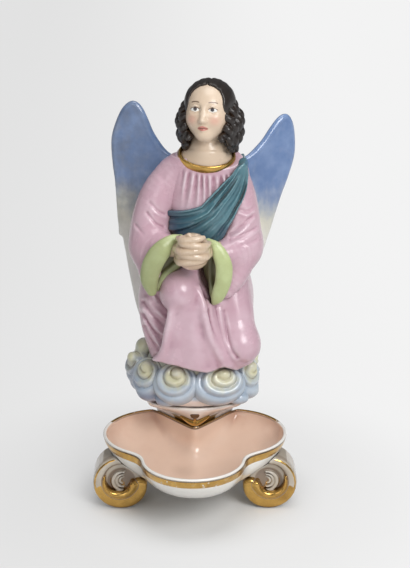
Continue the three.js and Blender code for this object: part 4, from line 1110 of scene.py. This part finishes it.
# Turned edges and folds that stand out, written in the same way.
SKIRT_EDGES = [
    ([(9, 21, 148, 3), (11.2, 19.4, 136, 3.4), (14.4, 18.6, 124, 3.6), (18.8, 18.6, 113, 3.6),
      (23, 19, 102, 3.4)], 3),
    ([(-14, 17, 150, 1.6), (-16.4, 14.5, 144, 2.0), (-17.6, 14, 138, 2.2), (-19.2, 14, 130, 2.4),
      (-21.2, 14.5, 118, 2.4), (-24.5, 16, 110, 2.2), (-29, 18, 105.5, 2.0)], 5),
    ([(2.6, 20, 159, 1.4), (5.2, 16.5, 152, 1.8), (6.8, 14.2, 145, 2.2), (8, 13.5, 138, 2.4),
      (10.5, 13.5, 127, 2.4), (15.4, 14, 117, 2.4), (20.8, 16, 104, 2.2)], 5),
    ([(11.4, 24, 147, 2.2), (13.6, 21.5, 136, 2.4), (16.6, 19.5, 126, 2.4), (20, 18, 115, 2.4),
      (24.5, 17.5, 104, 2.4)], 2.5),
    ([(17.0, 25, 140, 2.0), (19.4, 22, 129, 2.2), (22.4, 19.6, 118, 2.2), (27, 17, 110, 1.8)], 2.5),
]
# Creases, and ridges where the depth is negative: the points, width and depth.
SKIRT_CREASES = [
    ([(-28, 33, 151), (-22, 30, 144), (-17, 24, 138)], 1.7, 1.8),
    ([(-36, 37, 143), (-28, 34, 133), (-21, 26, 126)], 1.7, 1.8),
    ([(-36, 37, 134), (-30, 35, 124), (-23, 27, 116)], 1.7, 1.8),
    ([(-35, 38, 125), (-31, 36, 116), (-26, 28, 108)], 1.7, 1.6),
    ([(-34, 36, 147), (-27, 33, 139), (-20, 25, 132)], 1.7, -1.2),
    ([(-37, 37, 138), (-30, 34, 128), (-23, 26, 121)], 1.7, -1.2),
    ([(-36, 38, 129), (-31, 36, 119), (-25, 28, 112)], 1.7, -1.0),
    ([(9.0, 18, 144), (10.8, 18, 135), (14.2, 18, 124), (18.4, 18, 113)], 1.8, 0.8),
    ([(15.0, 20, 144), (16.6, 20, 134), (19.4, 20, 123), (23.2, 20, 113)], 1.5, 0.8),
    ([(20.6, 20, 141), (22.4, 20, 128), (25.4, 18, 117), (30, 16, 110)], 1.5, 1.6),
    ([(-9, 10, 136), (-8, 10, 122), (-9, 10, 108)], 5.0, 0.7),
    ([(3, 10, 132), (5, 10, 117), (9, 10, 104)], 3.4, 0.8),
    ([(33, 14, 106), (39, 18, 104), (44, 24, 106)], 2.0, 0.8),
]
# The height of the hem in front, from left to right.
HEM_X = [-30, -13, -1, 9, 15, 21, 30, 40]
HEM_HEIGHT = [106, 104, 100.3, 98.3, 99.5, 102, 97.5, 99]
BACK_FOLDS = 11
BACK_DEPTH = 1.6


def below_hem(x, y, z):
    """How far a spot lies below the hem, which is lifted in front."""
    return HEM_Z + ease(y, 44, 30) * (np.interp(x, HEM_X, HEM_HEIGHT) - HEM_Z) - z


def back_folds(x, y, z):
    angle = np.arctan2(y - 57, x - 4)
    fade = ease(y, 44, 62) * ease(z, 182, 125)
    return BACK_DEPTH * fade * np.cos(BACK_FOLDS * angle + 0.8 * np.sin(z / 14.0))


def make_skirt():
    clay = Clay((-46, 0, 94), (52, 92, 186), 0.7)
    clay.add(stack(SKIRT_ROWS))
    for rows, blend in SKIRT_FORMS:
        clay.add(tube(rows), blend)
    clay.add(ellipsoid(*KNEE), 3)
    clay.add(ellipsoid(*KNEE_DOWN), 7)
    clay.add(stack(TENT_ROWS, 3.0), 2.5)
    for rows, blend in SKIRT_EDGES:
        clay.add(tube(rows), blend)
    for crease in SKIRT_CREASES:
        clay.crease(*crease)
    clay.cut(LAP_GAP, 1.5)
    clay.push(back_folds)
    clay.keep(below_hem, 2.5)

    def paint(x, y, z, normals):
        edge = 0.5 * bell(below_hem(x, y, z), 1.1) * ease(y, 44, 34)
        return {"shade": np.maximum(ease(LAP_GAP[2](x, y, z), 1.6, 0.0), edge)}

    sculpt("angel_skirt", "skirt", "pink_glaze", PINK_GLAZE, clay, paint)


# Hands, head and hair

HANDS = np.array([-1.4, 10.0, 190.2])
FINGER_ROWS = 5
FINGER_GAP = 3.9
FINGER_TOP = 9.6
# The fist that the fingers go round: half width, how far ahead and half height.
FIST_HALF, FIST_AHEAD, FIST_TALL = 11.6, 8.2, 16.5
# Finger tips on top of the hands: x and height over their middle.
FINGER_TIPS = [(-6.8, 9.6), (-2.2, 11.4), (2.6, 10.6), (6.6, 8.2)]


def finger(*rows):
    """A bar through rows of x, y, z and radius from the hands' middle."""
    return tube([tuple(HANDS + row[:3]) + row[3:] for row in rows])


def make_hands():
    clay = Clay(HANDS - [28, 16, 20], HANDS + [24, 24, 20], 0.4)
    clay.add(ellipsoid(HANDS + [0, 1.0, -1.0], (12.4, 10.4, 13.2)))
    for row in range(FINGER_ROWS):
        way = 1 if row % 2 else -1
        up = FINGER_TOP - FINGER_GAP * row
        fill = math.sqrt(1 - (up / FIST_TALL) ** 2)
        half, ahead = way * FIST_HALF * fill, FIST_AHEAD * fill
        clay.add(finger(
            (half, 3, up - 1.8, 2.3),
            (half * 0.75, -ahead * 0.65, up - 1.0, 2.6),
            (half * 0.1, -ahead, up, 2.5),
            (-half * 0.5, -ahead * 0.84, up + 0.6, 2.3),
            (-half * 0.78, -ahead * 0.5, up + 0.7, 1.7),
        ), 0.8)
    for x, top in FINGER_TIPS:
        clay.add(finger((x * 1.1, 6, top - 4, 2.6), (x, -1.6, top, 1.9)), 1.6)
    for side in (-1, 1):
        clay.add(finger((side * 6, 6, -2, 6.0), (side * 18, 17, -4, 5.0)), 3)
    sculpt("angel_hands", "hands", "flesh_glaze", HAND_GLAZE, clay)


HEAD = np.array([10.2, 46.0, 279.8])
HEAD_AXES = turned(-14, -12, 0)
# The face, from the head's middle and along its axes: the rows are x, y, z and radius.
EYE_X, EYE_Y, EYE_Z = 6.3, -15.2, 1.0
LID = [(3, EYE_Y - 0.6, EYE_Z + 1.7, 0.4), (6.4, EYE_Y - 1, EYE_Z + 2.6, 0.6),
       (9.6, EYE_Y + 1.2, EYE_Z + 1.2, 0.4)]
NOSE = [(0, -15.6, 3.5, 1.3), (0, -17.4, -2.5, 1.4), (0, -18.9, -6.3, 1.9)]
MOUTH_Z = -11.7
UPPER_LIP = [(-3.8, -14.6, -11.2, 0.6), (-1.4, -16.3, -10.6, 0.9), (0, -16.4, -10.9, 0.8),
             (1.4, -16.3, -10.6, 0.9), (3.8, -14.6, -11.2, 0.6)]
LOWER_LIP = [(-3, -14.6, -12.4, 0.6), (0, -16.2, -13, 1.2), (3, -14.6, -12.4, 0.6)]
# Skull, jaw and chin: the middle, the half sizes and the softness of the join.
SKULL = [((0, 1.5, 4), (16.2, 18.6, 16.8), 0), ((0, -3.5, -5), (14.2, 14.2, 15), 5),
         ((0, -11, -16.5), (5.5, 5, 4), 5)]
# What is there on both sides: the middle on the right and the half sizes.
CHEEK = ((7, -10, -5.5), (5.5, 5.3, 5.5))
EYE_HOLLOW = ((EYE_X, EYE_Y - 3.0, EYE_Z + 0.4), (4.6, 3.2, 2.8))
EYEBALL = ((EYE_X, EYE_Y + 1.4, EYE_Z), (3.5, 2.5, 2.2))
NOSTRIL = ((2.1, -17.0, -6.8), (1.5, 1.7, 1.3))
NECK = [(10.2, 54, 268, 10.5), (9.8, 53, 257, 11.6), (9.4, 51, 249, 14.5)]


def on_head(x, y, z):
    return HEAD + x * HEAD_AXES[0] + y * HEAD_AXES[1] + z * HEAD_AXES[2]


def head_tube(points, side=1):
    return tube([tuple(on_head(side * x, y, z)) + (r,) for x, y, z, r in points])


def head_ball(middle, radii, side=1):
    x, y, z = middle
    return ellipsoid(on_head(side * x, y, z), radii, HEAD_AXES)


def make_head():
    clay = Clay(HEAD - [26, 26, 46], HEAD + [26, 24, 24], 0.42)
    for middle, radii, blend in SKULL:
        clay.add(head_ball(middle, radii), blend)
    for side in (-1, 1):
        clay.add(head_ball(*CHEEK, side), 4)
        clay.cut(head_ball(*EYE_HOLLOW, side), 2.5)
        clay.add(head_ball(*EYEBALL, side), 0.6)
        clay.add(head_tube(LID, side), 0.8)
        clay.add(head_ball(*NOSTRIL, side), 1.2)
    clay.add(head_tube(NOSE), 2.4)
    clay.add(head_tube(UPPER_LIP), 0.9)
    clay.add(head_tube(LOWER_LIP), 0.7)
    clay.add(tube(NECK), 4)
    clay.add(ellipsoid(COLLAR_MIDDLE - 0.6 * COLLAR_TURN[2], (18.8, 14.0, 5.0), COLLAR_TURN), 5)

    def paint(x, y, z, normals):
        x, y, z = local(HEAD, HEAD_AXES, x, y, z)
        x = np.abs(x)
        front = ease(-y, 6, 10)
        eye = np.hypot((x - EYE_X) / 3.1, (z - EYE_Z) / 1.45)
        iris = np.hypot(x - EYE_X + 0.2, (z - EYE_Z - 0.5) * 0.9)
        lid = bell(eye - 1.0, 0.16) * ease(z, EYE_Z - 0.4, EYE_Z + 0.6)
        arch = EYE_Z + 5.4 - 0.06 * (x - 6) ** 2
        brow = 0.8 * bell(z - arch, 0.6) * ease(x, 2.6, 3.6) * ease(x, 10.4, 8.6)
        mouth = bell(z - MOUTH_Z, 0.3) * ease(x, 4.0, 3.0)
        return {
            "eyes": front * ease(eye, 1.05, 0.9),
            "iris": front * ease(iris, 1.45, 1.15),
            "lines": front * np.max([lid, brow, mouth], 0),
            "lips": front * ease(np.abs(z - MOUTH_Z) / 1.8 + (x / 4.2) ** 2, 1.05, 0.8),
            "blush": front * 0.7 * bell(np.hypot(x - 8, (z + 6) * 1.1), 4.4),
        }

    sculpt("angel_head", "head", "flesh_glaze", FACE_GLAZE, clay, paint)


# The hair over the crown and the nape, and what is cut away for the face, written as the skull is.
HAIR_BALLS = [((0, 2.4, 4.6), (18.2, 20.2, 18.4), 0), ((0, 12, -9), (15.5, 8.5, 16), 5),
              ((0, 13, -16), (13.5, 7.5, 14), 5)]
HAIR_CUTS = [((0, -24, -7), (16.4, 22, 29), 1.2), ((0, -20, 9), (15.8, 13.5, 13.5), 1.2)]


def make_hair():
    clay = Clay(HEAD - [24, 26, 36], HEAD + [24, 27, 30], 0.5)
    for middle, radii, blend in HAIR_BALLS:
        clay.add(head_ball(middle, radii), blend)
    for middle, radii, blend in HAIR_CUTS:
        clay.cut(head_ball(middle, radii), blend)

    def strands(x, y, z):
        u, v, w = local(HEAD, HEAD_AXES, x, y, z)
        part = bell(u, 0.9) * ease(w, 8, 16) * ease(-v, -14, -4)
        wave = np.cos(np.abs(u) * 1.5 + 0.5 * np.sin(v / 4.0)) * ease(np.abs(u), 1.0, 4.0)
        return part + 0.12 * wave

    clay.push(strands)
    sculpt("angel_hair_cap", "hair_cap", "hair_glaze", HAIR_GLAZE, clay)
    for side, node in ((-1, "hair_left"), (1, "hair_right")):
        make_locks(side, node)


# Each ringlet's place back and out from the head's middle, its top and its length.
RINGLETS = [(-6.5, 14.8, 2, 21), (-3.0, 17.2, 6, 27), (1.0, 18.8, 7, 31), (5.0, 19.6, 7, 33),
            (9.0, 19.0, 7, 33), (13.0, 16.8, 6, 32), (16.5, 13.0, 4, 29)]
LOCK_STEPS = 18
LOCK_TWISTS = 2.7
LOCK_PHASE = 2.1
LOCK_SWING_X, LOCK_SWING_Y = 1.7, 1.5
LOCK_RADIUS = 2.2
# How far a ringlet swells out at half its length, is tucked in at its top and draws in to its end.
LOCK_SWELL, LOCK_TUCK, LOCK_DRAW = 2.6, 5.0, 2.5
LOCK_CORE = ((17, 5, -11), (4.5, 12, 14))


def make_locks(side, node):
    """Ringlets beside the face: a bunch of wavy strands that swells out and tucks in at the jaw."""
    first = on_head(side * 15, 0, 0)
    clay = Clay(first - [15, 24, 36], first + [15, 24, 18], 0.42)
    for strand, (back, out, top, fall) in enumerate(RINGLETS):
        rows = []
        for step in range(LOCK_STEPS + 1):
            share = step / LOCK_STEPS
            swing = share * 2 * math.pi * LOCK_TWISTS + strand * LOCK_PHASE
            swell = math.sin(share * math.pi)
            reach = out + LOCK_SWELL * swell - LOCK_DRAW * share - LOCK_TUCK * (1 - share) ** 4
            x = side * (reach + LOCK_SWING_X * math.cos(swing))
            y = back + LOCK_SWING_Y * math.sin(swing)
            rows.append((x, y, top - fall * share, LOCK_RADIUS + 0.6 * swell))
        clay.add(head_tube(rows), 0.4)
    clay.add(head_ball(*LOCK_CORE, side), 0.4)
    sculpt("angel_" + node, node, "hair_glaze", HAIR_GLAZE, clay)


# Wings

# The left wing seen from the front, from its root by the spine: above the step in its edge, and below it.
WING_UPPER = [(8.8, 4), (-6, 2), (-17.4, 6.2), (-26.7, 18.6), (-31, 28.5), (-35, 37), (-39.5, 41.8),
              (-45, 42), (-51.5, 35.5), (-57.2, 22), (-59.2, 11), (-58.4, -5), (-57, -17), (-55.6, -40),
              (-54.5, -57.4)]
WING_LOWER = [(-51.6, -59.5), (-49.5, -72.7), (-43.2, -107.5), (-37, -125), (-30, -125), (-17, -112),
              (-6, -70), (6.6, -36)]
WING_HALF = 2.4
QUILLS = 30
# Where the quills meet: across and up from the root.
FAN_X, FAN_Z = 26, 60
# Each wing's side, node, sweep and drop in degrees, and root.
WINGS = [
    (-1, "wing_left", -10, 0, (-1.5, 72.0, 237.3)),
    (1, "wing_right", 30, 17, (20.5, 72.0, 237.3)),
]


def outline_distance(outline, u, w):
    """Distance to a closed outline on a flat grid, negative inside."""
    best = np.full(np.broadcast(u, w).shape, 1e9)
    inside = np.zeros(best.shape, bool)
    for a, b in zip(outline, np.roll(outline, -1, 0)):
        along = b - a
        t = np.clip(((u - a[0]) * along[0] + (w - a[1]) * along[1]) / max(along @ along, 1e-9), 0, 1)
        best = np.minimum(best, (u - a[0] - t * along[0]) ** 2 + (w - a[1] - t * along[1]) ** 2)
        crosses = (a[1] > w) != (b[1] > w)
        if along[1]:
            inside ^= crosses & (u < a[0] + (w - a[1]) * along[0] / along[1])
    return np.where(inside, -1, 1) * np.sqrt(best)


def make_wing(side, node, sweep, drop, root):
    """A wing made flat, as the left one, then mirrored, dropped and swept to its place."""
    clay = Clay((-64, -8, -132), (14, 8, 50), 0.7)
    outline = np.vstack([flowing(WING_UPPER), flowing(WING_LOWER)])
    u, n, w = np.ix_(*clay.axes)
    edge = outline_distance(outline, u[:, 0], w[0])[:, None, :]
    fan = np.arctan2(u - FAN_X, -(w - FAN_Z))
    quills = np.abs(np.sin(fan * QUILLS)) ** 0.7 * ease(-w, 10, 56)
    rim = bell(edge + 2.6, 1.6) * ease(w - 0.9 * u, 20, 34) * ease(w, -30, 0)
    half = WING_HALF + 0.6 * quills + 0.8 * rim + 1.1 * ease(u, -44, 0)
    half = half * (0.7 + 0.3 * ease(-edge, 0, 8))
    clay.field = soft_max(edge, np.abs(n) - half, 3.0).astype(np.float32)
    clay.soften()
    flat, faces = clay.skin()
    places = flat
    if side > 0:
        places = places * [-1, 1, 1] @ turned(0, 0, drop)
        faces = faces[:, ::-1]
    places = places @ turned(sweep, 0, 0) + root

    def paint(x, y, z, normals):
        fall = flat[:, 2] + 0.06 * flat[:, 0]
        masks = {"blue": ease(fall, -66, 6), "moss": bell(fall + 36, 16)}
        # The left wing's outer part is darker: painted shade, with soot.
        if side < 0:
            masks["shade"] = 0.5 * ease(-flat[:, 0], 10, 50) * ease(fall, -80, -30)
        return masks

    build("angel_" + node, node, "wing_glaze", WING_GLAZE, places, faces, paint)


# Floor, light and camera

FLOOR_SIZE = 12
# The paper is painted darker towards the left and lighter towards the right: painted shade and light.
FLOOR_LEFT = colour(226, 226, 226)
FLOOR_RIGHT = colour(243, 243, 243)
FLOOR_LIT = colour(228, 228, 227)
BACKDROP = colour(234, 234, 234)
SKY_LIGHT = colour(250, 250, 252)
SKY_STRENGTH = 0.2
LAMP_AIM = np.array([0, 30, 140])
# Each lamp's name, place, width in metres and power in watts.
LAMPS = [
    ("key_light", (500, -860, 860), 0.66, 9.8),
    ("fill_light", (-420, -980, 460), 0.6, 1.6),
    ("top_light", (80, -40, 1250), 0.8, 4.6),
]
CAMERA_PLACE = np.array([0.0, -1135.0, 560.0])
CAMERA_DOWN = 18.99
CAMERA_YAW = -0.36
LENS = 110.97
SENSOR = 36.0


def make_floor():
    """A floor that takes the object's shadow and fades away from it to plain paper, painted darker towards
    the left.
    """
    bpy.ops.mesh.primitive_plane_add(size=FLOOR_SIZE)
    floor = bpy.context.object
    floor.name = "studio_floor"
    finish = Finish("studio_floor", coat=0.0, gloss=0.9)
    finish.set(Base_Color=FLOOR_LIT)
    place = finish.node("TexCoord", {}, "Object")
    far = finish.node("VectorMath", {0: place}, "Value", operation="LENGTH")
    across = finish.node("SeparateXYZ", {0: place})
    paper_with_painted_shade = finish.mix(finish.step(across, -0.3, 0.22), FLOOR_LEFT, FLOOR_RIGHT)
    plain = finish.node("Emission", {"Color": paper_with_painted_shade, "Strength": 1.0})
    camera_ray = finish.node("LightPath", {}, "Is Camera Ray")
    glossy_ray = finish.node("LightPath", {}, "Is Glossy Ray")
    near = finish.step(far, 0.05, 0.1, 0.0, 0.7)
    bright = finish.math("ADD", near, finish.step(far, 0.09, 0.22, 0.0, 0.3))
    share = finish.math("MULTIPLY", bright, finish.math("MAXIMUM", camera_ray, glossy_ray))
    both = finish.node("MixShader", {0: share, 1: finish.shader.outputs[0], 2: plain})
    finish.tree.links.new(both, finish.tree.nodes["Material Output"].inputs["Surface"])
    floor.data.materials.append(finish.material)


def softbox(name, place, size, power):
    light = bpy.data.lights.new(name, "AREA")
    light.energy = power
    light.shape = "DISK"
    light.size = size
    lamp = bpy.data.objects.new(name, light)
    bpy.context.scene.collection.objects.link(lamp)
    lamp.location = (np.array(place) + SHIFT) * MM
    aim = LAMP_AIM - place
    level = math.hypot(aim[0], aim[1])
    lamp.rotation_euler = (math.pi / 2 + math.atan2(aim[2], level), 0, math.atan2(-aim[0], aim[1]))


def make_light():
    for lamp in LAMPS:
        softbox(*lamp)
    world = bpy.data.worlds.new("studio")
    bpy.context.scene.world = world
    world.use_nodes = True
    nodes, links = world.node_tree.nodes, world.node_tree.links
    background = nodes["Background"]
    background.inputs["Color"].default_value = SKY_LIGHT
    background.inputs["Strength"].default_value = SKY_STRENGTH
    backdrop = nodes.new("ShaderNodeBackground")
    backdrop.inputs["Color"].default_value = BACKDROP
    path = nodes.new("ShaderNodeLightPath")
    both = nodes.new("ShaderNodeMixShader")
    links.new(path.outputs["Is Camera Ray"], both.inputs[0])
    links.new(background.outputs[0], both.inputs[1])
    links.new(backdrop.outputs[0], both.inputs[2])
    links.new(both.outputs[0], nodes["World Output"].inputs["Surface"])


def make_camera():
    camera = bpy.data.cameras.new("photo_camera")
    camera.lens = LENS
    camera.sensor_width = SENSOR
    camera.clip_start = 0.05
    camera.clip_end = 20.0
    eye = bpy.data.objects.new("photo_camera", camera)
    bpy.context.scene.collection.objects.link(eye)
    eye.location = (CAMERA_PLACE + SHIFT) * MM
    eye.rotation_euler = (math.radians(90 - CAMERA_DOWN), 0, math.radians(CAMERA_YAW))
    bpy.context.scene.camera = eye


bpy.context.scene.view_settings.view_transform = "Standard"
make_camera()
make_light()
make_floor()
make_basin()
make_foot(1, "scroll_foot_left")
make_foot(-1, "scroll_foot_right")
make_plinth()
make_leaf()
make_clouds()
make_skirt()
make_torso()
make_collar()
make_sash()
make_sleeve(-1, "sleeve_left", "cuff_left")
make_sleeve(1, "sleeve_right", "cuff_right")
make_hands()
make_head()
make_hair()
for wing in WINGS:
    make_wing(*wing)
